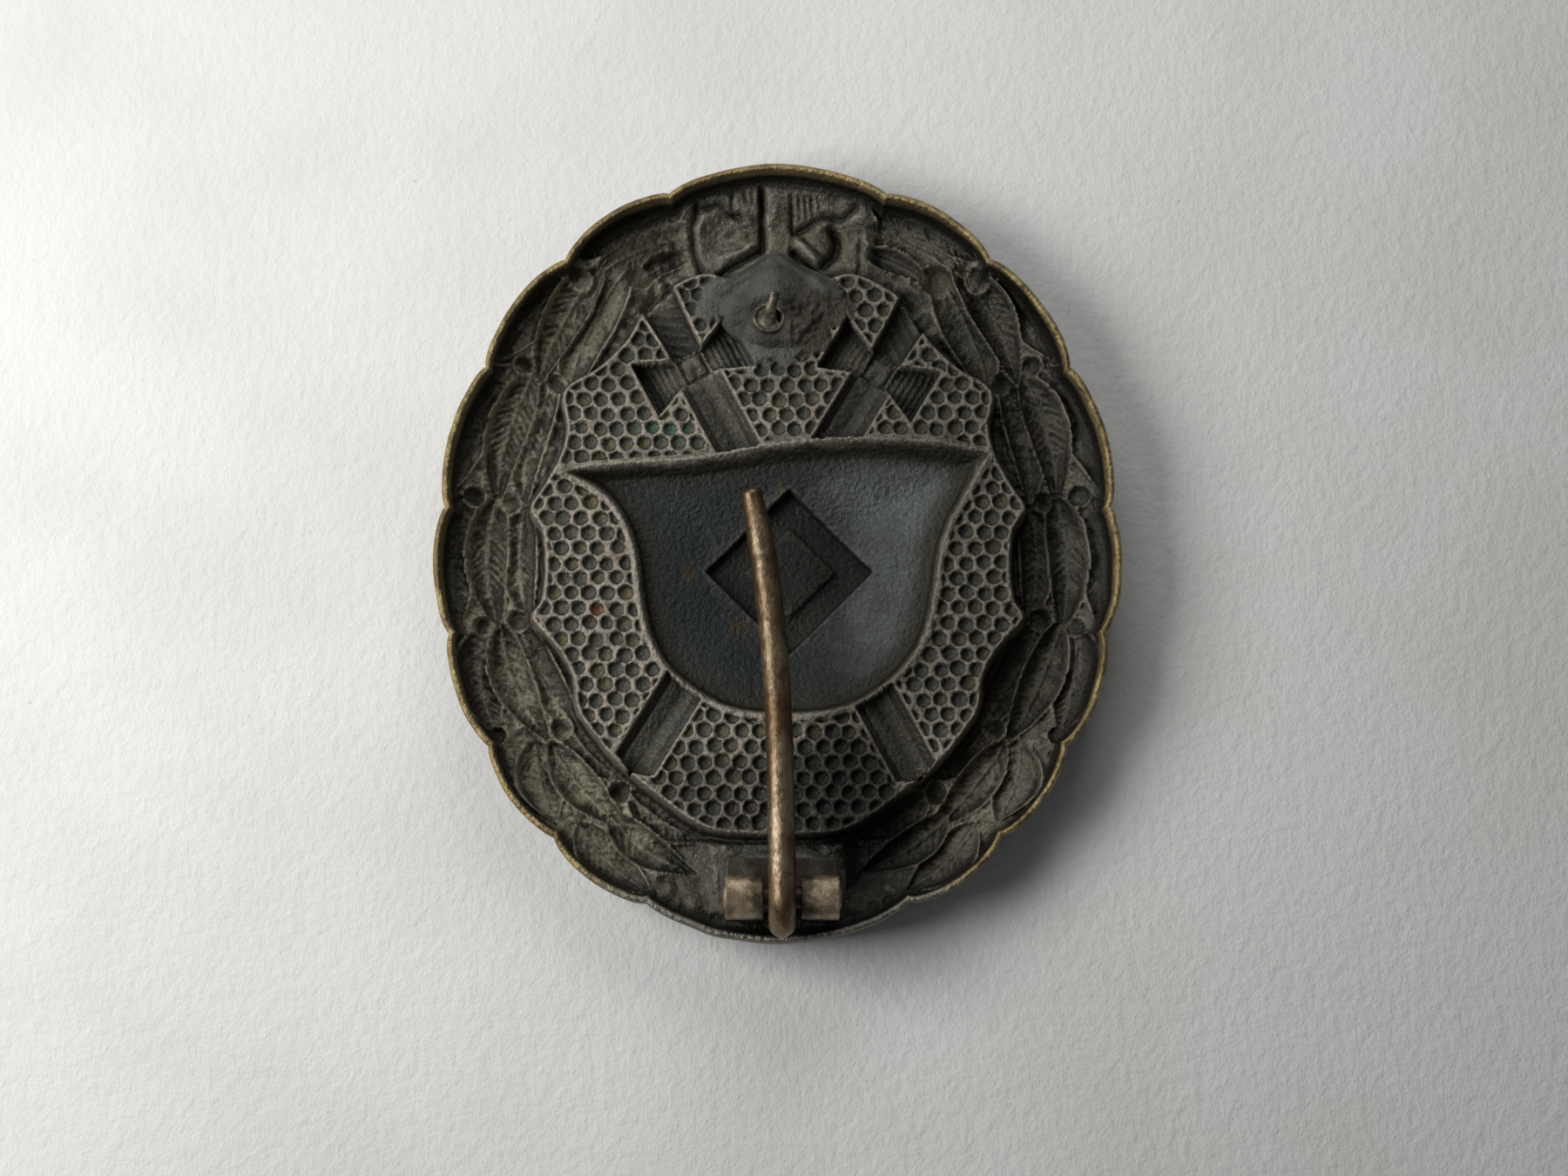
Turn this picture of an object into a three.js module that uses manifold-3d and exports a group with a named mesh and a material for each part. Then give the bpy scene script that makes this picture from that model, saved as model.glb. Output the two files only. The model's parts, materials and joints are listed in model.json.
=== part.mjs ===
// Oval wreath badge with a pin back, lying face down.
// Millimetres. +X across the badge, +Y towards the ribbon bow, +Z out of the hollow back.
// The origin is under the middle of the badge, on the plane that its front rests on.
//
// One thin sheet is struck into a wreath, a field with crossed swords and a helmet, and curled
// up into a scalloped rim. A box hinge, a needle and the remains of a catch are soldered inside.

import * as THREE from 'three';
import { mergeVertices } from 'three/addons/utils/BufferGeometryUtils.js';
import Module from 'manifold-3d';

const wasm = await Module();
wasm.setup();

// ---------------------------------------------------------------- driving dimensions

const BADGE_WIDTH = 38.4;
const BADGE_LENGTH = 44;
const SHEET = 0.5;              // thickness of the struck sheet
const RIM_TOP = 4.0;            // height of the rim's cut edge
const SCALLOP_DEPTH = 0.6;      // how far each notch cuts into the oval
// directions of the notches on the right half, in degrees from +X; the left half mirrors them
const NOTCHES = [73.0, 53.7, 31.6, 6.4, -15.6, -35.4, -53.1, -70.0];

// heights of the hollow side of the sheet, zone by zone
const LOZENGE_FLOOR = SHEET;    // the lozenge's front face lies on z = 0
const HELMET_FLOOR = 0.95;
const FIELD_EDGE = 2.75;        // ground at the wreath
const FIELD_DISH = 0.35;        // how much lower the ground lies at the helmet
const WREATH_FLOOR = SHEET;     // the leaves' fronts also touch z = 0
const LEAF_RELIEF = 0.35;       // how much the leaves rise at each notch
const LEAF_HEM = 0.25;          // and along both edges of the wreath
const BOW_FLOOR = 1.5;          // flat seat of the bow's knot
const BOW_LOOP_FLOOR = 0.9;
const HINGE_SEAT = 1.9;         // flattened ribbon of the wreath, under the hinge
const WALL_RUN = 0.5;           // how far the rim's wall leans out on its way up
const LIP = 0.12;               // raised bead along the helmet and along the wreath
const BLADE_DEPTH = 0.55;

const LOZENGE = { x: 0.65, y: -1.1, halfDiagonal: 4.75, slope: 0.3 };
const SWORDS = { x: 0.2, y: 1.2, lean: 29.7, tip: 16.1, pommel: 17.0, halfBlade: 1.2 };
const GUARD = { from: 9.3, to: 11.3, halfWidth: 2.7 };

const AXIS = { x: 0.25, y: -19.6, z: 5.4 };   // hinge line, parallel to X
const AXLE_RADIUS = 0.6;
const AXLE_LENGTH = 6.4;
const AXLE_PLAY = 0.08;
const KNUCKLE = { inner: 0.7, outer: 1.2, width: 2.15, gap: 2.0 };
const SOLDER_PAD = { width: 6.6, length: 3.6, draft: 0.93 };
const PLATE = { bottom: 2.55, thickness: 0.42, front: -17.3, back: -20.8, width: 6.1 };

const WIRE = 1.45;              // needle wire diameter
const NEEDLE_TIP = { x: -1.5, y: 2.8, z: 4.9, diameter: 1.15, taper: 3.2 };
const NEEDLE_BOW = 0.3;         // sideways bend of the wire at half its length

const CATCH = { x: -0.5, y: 13.1 };
const MOUND = { x: -0.15, y: 14.2, halfWidth: 2.6, halfLength: 3.0, top: 3.1, flat: 1.6 };
const DISC = { radius: 0.95, thickness: 0.3 };
const STUB = { radius: 0.42, height: 1.15, lean: 0.45 };
const GAP = 0.06;               // clearance between pieces that are soldered flat together

const SPOKES = 120;

// ---------------------------------------------------------------- helpers

const rad = THREE.MathUtils.degToRad;
const deg = THREE.MathUtils.radToDeg;
const lerp = THREE.MathUtils.lerp;
const smooth = THREE.MathUtils.smoothstep;

const finish = (color, roughness, metalness = 0.9) =>
  new THREE.MeshStandardMaterial({ color, roughness, metalness });

const toSolid = (geometry) => {
  const bare = geometry.clone();
  bare.deleteAttribute('normal');
  bare.deleteAttribute('uv');
  const merged = mergeVertices(bare, 1e-5);
  return new wasm.Manifold(new wasm.Mesh({
    numProp: 3,
    vertProperties: new Float32Array(merged.attributes.position.array),
    triVerts: new Uint32Array(merged.index.array),
  }));
};

const toGeometry = (solid) => {
  const mesh = solid.getMesh();
  const geometry = new THREE.BufferGeometry();
  geometry.setAttribute('position', new THREE.BufferAttribute(mesh.vertProperties, 3));
  geometry.setIndex(new THREE.BufferAttribute(mesh.triVerts, 1));
  geometry.computeVertexNormals();
  return geometry;
};

const badge = new THREE.Group();
badge.name = 'badge';

const addPart = (name, geometry, material) => {
  const mesh = new THREE.Mesh(geometry, material);
  mesh.name = name;
  badge.add(mesh);
};

// Distance from the origin to a closed outline, along a direction in degrees.
const reach = (outline, angle) => {
  const dx = Math.cos(rad(angle));
  const dy = Math.sin(rad(angle));
  let far = 0;
  outline.forEach((a, i) => {
    const b = outline[(i + 1) % outline.length];
    const sideA = a.x * dy - a.y * dx;
    const sideB = b.x * dy - b.y * dx;
    if (sideA * sideB > 0 || sideA === sideB) return;
    const t = sideA / (sideA - sideB);
    far = Math.max(far, lerp(a.x, b.x, t) * dx + lerp(a.y, b.y, t) * dy);
  });
  return far;
};

// ---------------------------------------------------------------- outlines of the zones

const points = (...pairs) => pairs.map(([x, y]) => new THREE.Vector2(x, y));

// The helmet's outline: brim along the top with a tip at each end, crown below.
const brim = points([11.8, 5.5], [9.1, 6.1], [3.9, 6.4], [-1.6, 5.9], [-8.4, 5.0], [-11.9, 4.3]);
const crown = new THREE.SplineCurve(points(
  [-11.9, 4.3], [-9.7, 2.8], [-8.3, 0.3], [-7.8, -3.1], [-6.5, -6.8], [-3.2, -9.0],
  [0.8, -9.5], [4.3, -8.9], [7.6, -6.3], [8.9, -2.6], [9.6, 1.3], [11.8, 5.5],
)).getPoints(44).slice(1, -1);
const helmet = [...brim, ...crown];

// The wreath's inner edge, closed: right half from the bow down, then its mirror image.
const wreathSide = [
  [2.4, 10.6], [5.2, 13.0], [8.8, 11.6], [12.0, 8.6], [12.2, 5.6], [13.7, 2.2],
  [13.0, -1.0], [13.5, -3.9], [11.3, -7.6], [9.4, -11.6], [4.3, -15.2],
];
const wreathPoints = points(
  [0, 10.3], ...wreathSide, [0, -15.9], ...wreathSide.map(([x, y]) => [-x, y]).reverse(),
).map(({ x, y }) => new THREE.Vector3(x, y, 0));
const wreathEdge = new THREE.CatmullRomCurve3(wreathPoints, true, 'centripetal').getPoints(160);

const lozenge = points([4.8, 0], [0, 4.8], [-4.8, 0], [0, -4.8]).map(
  (corner) => corner.multiplyScalar(LOZENGE.halfDiagonal / 4.8).add(LOZENGE),
);

const allNotches = [...NOTCHES, ...NOTCHES.map((a) => 180 - a)]
  .map((a) => (a + 360) % 360)
  .sort((a, b) => a - b);

// The scallop that a direction falls in, and how far across it from 0 to 1.
const scallopAt = (angle) => {
  const turn = (angle + 360) % 360;
  const next = allNotches.findIndex((notch) => notch > turn + 1e-6);
  const high = next === -1 ? allNotches[0] + 360 : allNotches[next];
  const low = next === -1 ? allNotches.at(-1) : allNotches.at(next - 1);
  const start = low > high ? low - 360 : low;
  const across = ((turn < start ? turn + 360 : turn) - start) / (high - start);
  return { middle: (start + high) / 2, across };
};

const rimRadius = (angle) => {
  const oval = 1 / Math.hypot(Math.cos(rad(angle)) / (BADGE_WIDTH / 2),
    Math.sin(rad(angle)) / (BADGE_LENGTH / 2));
  const bulge = Math.sqrt(Math.max(0, Math.sin(Math.PI * scallopAt(angle).across)));
  return oval - SCALLOP_DEPTH * (1 - bulge);
};

// ---------------------------------------------------------------- relief of the sheet

// How deep a sword is struck at a point: flat-sided blade with a sloping floor, then the hilt.
const swordDepth = (x, y) => Math.max(...[-1, 1].map((side) => {
  const lean = rad(side * SWORDS.lean);
  const along = (y - SWORDS.y) * Math.cos(lean) + (x - SWORDS.x) * Math.sin(lean);
  const across = Math.abs((x - SWORDS.x) * Math.cos(lean) - (y - SWORDS.y) * Math.sin(lean));
  if (along < -SWORDS.tip || along > SWORDS.pommel) return 0;
  const onGuard = along > GUARD.from && along < GUARD.to;
  const halfWidth = onGuard ? GUARD.halfWidth : SWORDS.halfBlade;
  return BLADE_DEPTH * (1 - smooth(across, halfWidth - 0.45, halfWidth + 0.1));
}));

const groundLevel = (radius, edge) => FIELD_EDGE - FIELD_DISH * (1 - (radius / edge) ** 2);

// The leaves of one bundle hang as a rounded fold between two notches.
const leafFloor = (angle) => {
  const { middle, across } = scallopAt(angle);
  if (Math.abs(middle - 270) < 1) return HINGE_SEAT;
  if (Math.abs(middle - 90) < 1) {
    return lerp(BOW_FLOOR, BOW_LOOP_FLOOR, smooth(Math.abs(across - 0.5), 0.28, 0.42));
  }
  return WREATH_FLOOR + LEAF_RELIEF * (1 - Math.sin(Math.PI * across));
};

// One radial section of the hollow side, from the centre out to the rim, as [radius, height].
const section = (angle) => {
  const at = (radius) => [Math.cos(rad(angle)) * radius, Math.sin(rad(angle)) * radius];
  const rim = rimRadius(angle) - SHEET;
  const inner = reach(lozenge, angle);
  const edge = reach(wreathEdge, angle);
  const lip = Math.min(reach(helmet, angle), edge - 1.1);
  const foot = Math.max(lip - 0.9, inner + 0.35);
  const leaf = leafFloor(angle);
  const hem = leaf < BOW_LOOP_FLOOR ? LEAF_HEM : 0;
  const onField = (share) => {
    const radius = lerp(lip + 0.3, edge - 0.3, share);
    return [radius, groundLevel(radius, edge) - swordDepth(...at(radius))];
  };
  const onWreath = (share, height) => [lerp(edge + 0.75, rim - WALL_RUN, share), height];
  return [
    [inner - LOZENGE.slope, LOZENGE_FLOOR],
    [inner, HELMET_FLOOR],
    [foot, HELMET_FLOOR + 0.1],
    [lip, groundLevel(lip, edge) + LIP],
    onField(0), onField(0.25), onField(0.5), onField(0.75), onField(1),
    [edge, FIELD_EDGE + LIP],
    onWreath(0, leaf + hem),
    onWreath(0.33, leaf),
    onWreath(0.66, leaf),
    onWreath(1, leaf + hem),
    [rim, RIM_TOP],
  ];
};

// The front of the sheet is the same section, moved one sheet thickness along its normal.
const frontOf = (back) => back.map(([radius, height], i) => {
  if (i === back.length - 1) return [radius + SHEET, height];
  const before = i === 0 ? [0, height] : back[i - 1];
  const after = back[i + 1];
  const one = Math.atan2(height - before[1], radius - before[0]);
  const two = Math.atan2(after[1] - height, after[0] - radius);
  const slope = (one + two) / 2;
  const length = SHEET * Math.min(1 / Math.cos((two - one) / 2), 1.25);
  return [radius + Math.sin(slope) * length, Math.max(0, height - Math.cos(slope) * length)];
});

// Spokes are even, except that the nearest one is moved onto each notch, tip and corner.
const spokeAngles = () => {
  const angles = Array.from({ length: SPOKES }, (_, i) => (i * 360) / SPOKES);
  const corners = [brim[0], brim.at(-1), ...lozenge].map(({ x, y }) => deg(Math.atan2(y, x)));
  [...corners.map((a) => (a + 360) % 360), ...allNotches].forEach((key) => {
    angles[Math.round((key * SPOKES) / 360) % SPOKES] = key;
  });
  return angles;
};

const shellGeometry = () => {
  const spokes = spokeAngles().map((angle) => {
    const back = section(angle);
    const ring = [...back, ...frontOf(back).reverse()];
    return ring.map(([radius, height]) =>
      [Math.cos(rad(angle)) * radius, Math.sin(rad(angle)) * radius, height]);
  });
  const perSpoke = spokes[0].length;
  const vertices = [...spokes.flat(), [0, 0, LOZENGE_FLOOR], [0, 0, 0]];
  const backCentre = vertices.length - 2;
  const frontCentre = vertices.length - 1;
  const faces = [];
  spokes.forEach((_, s) => {
    const here = s * perSpoke;
    const next = ((s + 1) % SPOKES) * perSpoke;
    faces.push(backCentre, here, next);
    faces.push(frontCentre, next + perSpoke - 1, here + perSpoke - 1);
    for (let k = 0; k < perSpoke - 1; k += 1) {
      faces.push(here + k, here + k + 1, next + k + 1);
      faces.push(here + k, next + k + 1, next + k);
    }
  });
  const geometry = new THREE.BufferGeometry();
  geometry.setAttribute('position', new THREE.Float32BufferAttribute(vertices.flat(), 3));
  geometry.setIndex(faces);
  geometry.computeVertexNormals();
  return geometry;
};

// ---------------------------------------------------------------- hinge

// Extrudes an outline drawn in the YZ plane along X, between two X values.
const acrossX = (shape, from, to, segments = 10) => {
  const options = { depth: to - from, bevelEnabled: false, curveSegments: segments };
  const geometry = new THREE.ExtrudeGeometry(shape, options);
  geometry.applyMatrix4(new THREE.Matrix4().set(
    0, 0, 1, from,
    1, 0, 0, 0,
    0, 1, 0, 0,
    0, 0, 0, 1,
  ));
  return geometry;
};

// A knuckle is the sheet folded up from the plate and over the axle, open underneath.
const knuckleShape = () => {
  const shape = new THREE.Shape();
  shape.moveTo(AXIS.y + KNUCKLE.outer, PLATE.bottom);
  shape.absarc(AXIS.y, AXIS.z, KNUCKLE.outer, 0, Math.PI, false);
  shape.lineTo(AXIS.y - KNUCKLE.outer, PLATE.bottom);
  shape.lineTo(AXIS.y - KNUCKLE.inner, PLATE.bottom);
  shape.absarc(AXIS.y, AXIS.z, KNUCKLE.inner, Math.PI, 0, true);
  shape.lineTo(AXIS.y + KNUCKLE.inner, PLATE.bottom);
  return shape;
};

const bracketGeometry = () => {
  const plateOutline = new THREE.Shape();
  plateOutline.moveTo(PLATE.front, PLATE.bottom);
  plateOutline.lineTo(PLATE.front, PLATE.bottom + PLATE.thickness);
  plateOutline.lineTo(PLATE.back, PLATE.bottom + PLATE.thickness);
  plateOutline.lineTo(PLATE.back, PLATE.bottom);
  const left = AXIS.x - PLATE.width / 2;
  let bracket = toSolid(acrossX(plateOutline, left, left + PLATE.width));
  [-1, 1].forEach((side) => {
    const near = AXIS.x + (side * KNUCKLE.gap) / 2;
    const far = near + side * KNUCKLE.width;
    const knuckle = acrossX(knuckleShape(), Math.min(near, far), Math.max(near, far));
    bracket = bracket.add(toSolid(knuckle));
  });
  return toGeometry(bracket);
};

const axleGeometry = () => {
  const round = new THREE.Shape().absarc(AXIS.y, AXIS.z, AXLE_RADIUS, 0, Math.PI * 2, false);
  return acrossX(round, AXIS.x - AXLE_LENGTH / 2, AXIS.x + AXLE_LENGTH / 2, 20);
};

// Solder that has run out round the hinge plate, with a flat seat for it.
const hingeSolderGeometry = () => {
  const height = PLATE.bottom - GAP - (HINGE_SEAT + GAP);
  const pad = new THREE.BoxGeometry(SOLDER_PAD.width, SOLDER_PAD.length, height);
  const middle = (PLATE.front + PLATE.back) / 2 + 0.35;
  pad.translate(AXIS.x, middle, HINGE_SEAT + GAP + height / 2);
  const corner = pad.attributes.position;
  for (let i = 0; i < corner.count; i += 1) {
    if (corner.getZ(i) > PLATE.bottom - 2 * GAP) {
      corner.setX(i, AXIS.x + (corner.getX(i) - AXIS.x) * SOLDER_PAD.draft);
    }
  }
  return pad;
};

// ---------------------------------------------------------------- needle

const WRAP_RADIUS = AXLE_RADIUS + AXLE_PLAY + WIRE / 2;
const WRAP_END = rad(285);      // the wire passes over, behind and under the axle
const WRAP_SHARE = 0.22;        // share of the wire's length that is wrapped
const SHAFT_LENGTH = NEEDLE_TIP.y - AXIS.y;

// Centre line of the wire: straight shaft from the tip, then one turn round the axle.
class NeedleLine extends THREE.Curve {
  getPoint(t, target = new THREE.Vector3()) {
    if (t > 1 - WRAP_SHARE) {
      const angle = lerp(Math.PI / 2, WRAP_END, (t - 1) / WRAP_SHARE + 1);
      return target.set(AXIS.x, AXIS.y + Math.cos(angle) * WRAP_RADIUS,
        AXIS.z + Math.sin(angle) * WRAP_RADIUS);
    }
    const along = 1 - t / (1 - WRAP_SHARE);    // 1 at the tip, 0 at the axle
    const side = (NEEDLE_TIP.x - AXIS.x) * along ** 3 - NEEDLE_BOW * along * (1 - along);
    const drop = (NEEDLE_TIP.z - AXIS.z - WRAP_RADIUS) * smooth(along, -0.15, 1.0);
    return target.set(AXIS.x + side, AXIS.y + SHAFT_LENGTH * along,
      AXIS.z + WRAP_RADIUS + drop);
  }
}

const needleGeometry = () => {
  const round = new THREE.Shape().absarc(0, 0, WIRE / 2, 0, Math.PI * 2, false);
  const line = new NeedleLine();
  const geometry = new THREE.ExtrudeGeometry(round, {
    extrudePath: line, steps: 46, curveSegments: 12,
  });
  // the worn end narrows towards the tip
  const place = geometry.attributes.position;
  for (let i = 0; i < place.count; i += 1) {
    const y = place.getY(i);
    const narrow = smooth(y, NEEDLE_TIP.y - NEEDLE_TIP.taper, NEEDLE_TIP.y);
    if (narrow > 0) {
      const along = Math.min((y - AXIS.y) / SHAFT_LENGTH, 1);
      const centre = line.getPoint((1 - along) * (1 - WRAP_SHARE));
      const keep = lerp(1, NEEDLE_TIP.diameter / WIRE, narrow);
      place.setX(i, centre.x + (place.getX(i) - centre.x) * keep);
      place.setZ(i, centre.z + (place.getZ(i) - centre.z) * keep);
    }
  }
  return geometry;
};

// ---------------------------------------------------------------- remains of the catch

const lathe = (profile, segments) => {
  const geometry = new THREE.LatheGeometry(points(...profile), segments);
  geometry.rotateX(Math.PI / 2);
  return geometry;
};

const moundGeometry = () => {
  const base = BOW_FLOOR + GAP;
  const rise = MOUND.top - base;
  const shoulder = Array.from({ length: 7 }, (_, i) => {
    const angle = (i / 6) * (Math.PI / 2);
    const radius = lerp(MOUND.halfWidth, MOUND.flat, 1 - Math.cos(angle));
    return [radius, base + rise * Math.sin(angle)];
  });
  const geometry = lathe([[0, base], ...shoulder, [0, MOUND.top]], 28);
  geometry.scale(1, MOUND.halfLength / MOUND.halfWidth, 1);
  geometry.translate(MOUND.x, MOUND.y, 0);
  return geometry;
};

const discGeometry = () => {
  const bottom = MOUND.top + GAP;
  const top = bottom + DISC.thickness;
  const outline = [[0, bottom], [DISC.radius, bottom], [DISC.radius, top - 0.1],
    [DISC.radius - 0.1, top], [0, top]];
  const geometry = lathe(outline, 28);
  geometry.translate(CATCH.x, CATCH.y, 0);
  return geometry;
};

// The hook broke off just above the disc and left a short, leaning end of wire.
const stubGeometry = () => {
  const bottom = MOUND.top + DISC.thickness + 2 * GAP;
  const geometry = new THREE.CylinderGeometry(STUB.radius * 0.85, STUB.radius, STUB.height, 14);
  geometry.rotateX(Math.PI / 2);
  geometry.translate(CATCH.x + 0.1, CATCH.y + 0.25, bottom + STUB.height / 2);
  const place = geometry.attributes.position;
  for (let i = 0; i < place.count; i += 1) {
    if (place.getZ(i) > bottom + STUB.height / 2) {
      const slant = (place.getX(i) - CATCH.x) * 0.35;
      place.setXYZ(i, place.getX(i), place.getY(i) + STUB.lean, place.getZ(i) + slant);
    }
  }
  return geometry;
};

// ---------------------------------------------------------------- the badge

const ZINC = finish('#4a4a42', 0.62);
const STEEL = finish('#8a8068', 0.45);
const WORN_WIRE = finish('#7d7058', 0.4);
const SOLDER = finish('#5b5f5e', 0.55);

addPart('badge_shell', shellGeometry(), ZINC);
addPart('hinge_solder', hingeSolderGeometry(), SOLDER);
addPart('hinge_bracket', bracketGeometry(), STEEL);
addPart('hinge_axle', axleGeometry(), STEEL);
addPart('needle_pin', needleGeometry(), WORN_WIRE);
addPart('catch_solder', moundGeometry(), SOLDER);
addPart('catch_plate', discGeometry(), STEEL);
addPart('catch_stub', stubGeometry(), WORN_WIRE);

export default badge;
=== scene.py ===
# %% [markdown]
# # A struck oval badge, seen from its hollow back
#
# The real badge is one thin sheet of metal. A die has pressed a wreath, a pebbled ground, two
# crossed swords and a helmet into it, and the edge has been cut to a scalloped rim. The back shows
# every form in reverse, as a hollow. A hinge, a bent needle and what is left of a catch are
# soldered into that hollow. This lesson builds the looks round a finished mechanical model.

import json
import math

import bmesh
import bpy
import numpy as np
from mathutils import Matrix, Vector


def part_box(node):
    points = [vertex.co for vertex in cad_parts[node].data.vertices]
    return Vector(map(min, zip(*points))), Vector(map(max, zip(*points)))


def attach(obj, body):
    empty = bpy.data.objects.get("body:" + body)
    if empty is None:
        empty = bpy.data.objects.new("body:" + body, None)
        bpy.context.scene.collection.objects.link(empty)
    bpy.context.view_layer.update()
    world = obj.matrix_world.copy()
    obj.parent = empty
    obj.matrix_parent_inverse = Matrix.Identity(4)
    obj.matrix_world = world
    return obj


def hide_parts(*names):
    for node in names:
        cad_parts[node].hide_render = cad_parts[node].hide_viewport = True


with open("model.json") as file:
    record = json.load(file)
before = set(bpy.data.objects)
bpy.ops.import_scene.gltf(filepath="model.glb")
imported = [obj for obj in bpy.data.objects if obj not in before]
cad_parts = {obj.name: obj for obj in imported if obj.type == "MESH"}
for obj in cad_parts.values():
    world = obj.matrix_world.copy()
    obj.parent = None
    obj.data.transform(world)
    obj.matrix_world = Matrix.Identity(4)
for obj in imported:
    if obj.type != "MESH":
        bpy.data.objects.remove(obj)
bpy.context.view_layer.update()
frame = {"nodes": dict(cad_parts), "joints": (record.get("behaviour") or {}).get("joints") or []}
print("nodes:", sorted(frame["nodes"]))

# %% [markdown]
# Lengths on a badge are easiest to think of in millimetres, so the drawing is done in millimetres
# and each mesh is scaled to metres when it is made. The few sizes that must agree with the
# mechanical model are read from its nodes and its one joint.

# %% Measures taken from the model
MM = 0.001


def box_mm(node):
    low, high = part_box(node)
    return np.array(low) / MM, np.array(high) / MM


shell_low, shell_high = box_mm("badge_shell")
HALF_WIDTH, HALF_LENGTH = (shell_high - shell_low)[:2] / 2
RIM_TOP = float(shell_high[2])
SHEET = 0.5
HINGE_LINE = np.array(frame["joints"][0]["pos_m"]) / MM
print("half sizes", HALF_WIDTH, HALF_LENGTH, "rim top", RIM_TOP, "hinge line", HINGE_LINE)

# %% [markdown]
# The camera comes first, because it decides how much detail will be seen. A long lens looks almost
# straight down, tilted a little from the hinge side, so that the far walls of each hollow show.

# %% Camera
TILT = math.radians(10)
DISTANCE = 147.6
TARGET = Vector((0.34, -2.44, 3.5))


def place_camera():
    data = bpy.data.cameras.new("viewpoint")
    data.sensor_width = 36
    data.lens = 36 * 1.70
    data.clip_start = 0.01
    camera = bpy.data.objects.new("viewpoint", data)
    backwards = Vector((0, -math.sin(TILT), math.cos(TILT)))
    camera.location = (TARGET + backwards * DISTANCE) * MM
    camera.rotation_euler = (TILT, 0, 0)
    bpy.context.scene.collection.objects.link(camera)
    bpy.context.scene.camera = camera
    return camera


camera = place_camera()
print("camera at", tuple(round(v, 4) for v in camera.location))

# %% [markdown]
# Height on the badge is a rule: for any point of the plan there is one height of the hollow side.
# The rule needs a few small tools. `ramp` is a soft step, `grain` is smooth random unevenness, and
# `hump` and `heap` are soft bumps along a line and round a point.

# %% Tools for drawing relief
LATTICE = 97
LATTICE_SHIFT = 48.3


def ramp(value, start, end):
    share = np.clip((value - start) / (end - start), 0, 1)
    return share * share * (3 - 2 * share)


def grain(x, y, pitch, seed):
    """Smooth random unevenness from -1 to 1, with bumps about one pitch wide."""
    lattice = np.random.default_rng(seed).uniform(-1, 1, (LATTICE, LATTICE))
    u, v = x / pitch + LATTICE_SHIFT, y / pitch + LATTICE_SHIFT
    i, j = np.floor(u).astype(int), np.floor(v).astype(int)
    a, b = ramp(u - i, 0, 1), ramp(v - j, 0, 1)
    right, beyond = (i + 1) % LATTICE, (j + 1) % LATTICE
    i, j = i % LATTICE, j % LATTICE
    near = lattice[i, j] * (1 - a) + lattice[right, j] * a
    far = lattice[i, beyond] * (1 - a) + lattice[right, beyond] * a
    return near * (1 - b) + far * b


def hump(value, middle, width):
    """A smooth bump of height 1 round a middle value."""
    return np.exp(-((value - middle) / width) ** 2)


def heap(x, y, middle, widths):
    """A smooth hill of height 1 round a point of the plan."""
    return np.exp(-((x - middle[0]) / widths[0]) ** 2 - ((y - middle[1]) / widths[1]) ** 2)


print("relief tools ready")

# %% [markdown]
# Outlines are drawn as a few points with a smooth curve through them. Two distance functions
# then tell how far any point lies inside such a loop or beside such a line.

# %% Tools for outlines
def distance_to(x, y, path, closed=False):
    """Distance in mm from each point to a line through the path's points."""
    path = np.asarray(path, float)
    ends = np.roll(path, -1, axis=0) if closed else path[1:]
    best = np.full(x.shape, 1e9)
    for (ax, ay), (bx, by) in zip(path, ends):
        ex, ey = bx - ax, by - ay
        along = np.clip(((x - ax) * ex + (y - ay) * ey) / (ex * ex + ey * ey + 1e-12), 0, 1)
        best = np.minimum(best, (x - ax - along * ex) ** 2 + (y - ay - along * ey) ** 2)
    return np.sqrt(best)


def depth_inside(x, y, loop):
    """Distance in mm to a closed loop, positive inside it and negative outside."""
    inside = np.zeros(x.shape, bool)
    loop = np.asarray(loop, float)
    for (ax, ay), (bx, by) in zip(loop, np.roll(loop, -1, axis=0)):
        if ay != by:
            crossing = (bx - ax) * (y - ay) / (by - ay) + ax
            inside ^= ((ay > y) != (by > y)) & (x < crossing)
    return np.where(inside, 1, -1) * distance_to(x, y, loop, closed=True)


def rounded(points, steps=6, closed=True):
    """A smooth line through given points (Catmull-Rom)."""
    p = np.asarray(points, float)
    if not closed:
        p = np.vstack([2 * p[0] - p[1], p, 2 * p[-1] - p[-2]])
    count = len(p) if closed else len(p) - 3
    line = []
    for i in range(count):
        a, b, c, d = (p[(i + k - (1 if closed else 0)) % len(p)] for k in range(4))
        for t in np.arange(steps) / steps:
            line.append(0.5 * (2 * b + (c - a) * t + (2 * a - 5 * b + 4 * c - d) * t ** 2
                               + (3 * b - a - 3 * c + d) * t ** 3))
    if not closed:
        line.append(p[-2])
    return np.array(line)


def mirrored(points):
    return [(-x, y) for x, y in points]


print("outline tools ready")

# %% [markdown]
# The rim is an oval with a notch wherever two bundles of leaves meet. Between two notches it swells
# out again. Cutting and wear have left it slightly uneven, which a little grain adds.

# %% The scalloped rim
NOTCHES = [73.0, 53.7, 31.6, 6.4, -15.6, -35.4, -53.1, -70.0]
ALL_NOTCHES = np.sort([a % 360 for a in NOTCHES + [180 - a for a in NOTCHES]])
SCALLOP_DEPTH = 0.6


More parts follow.
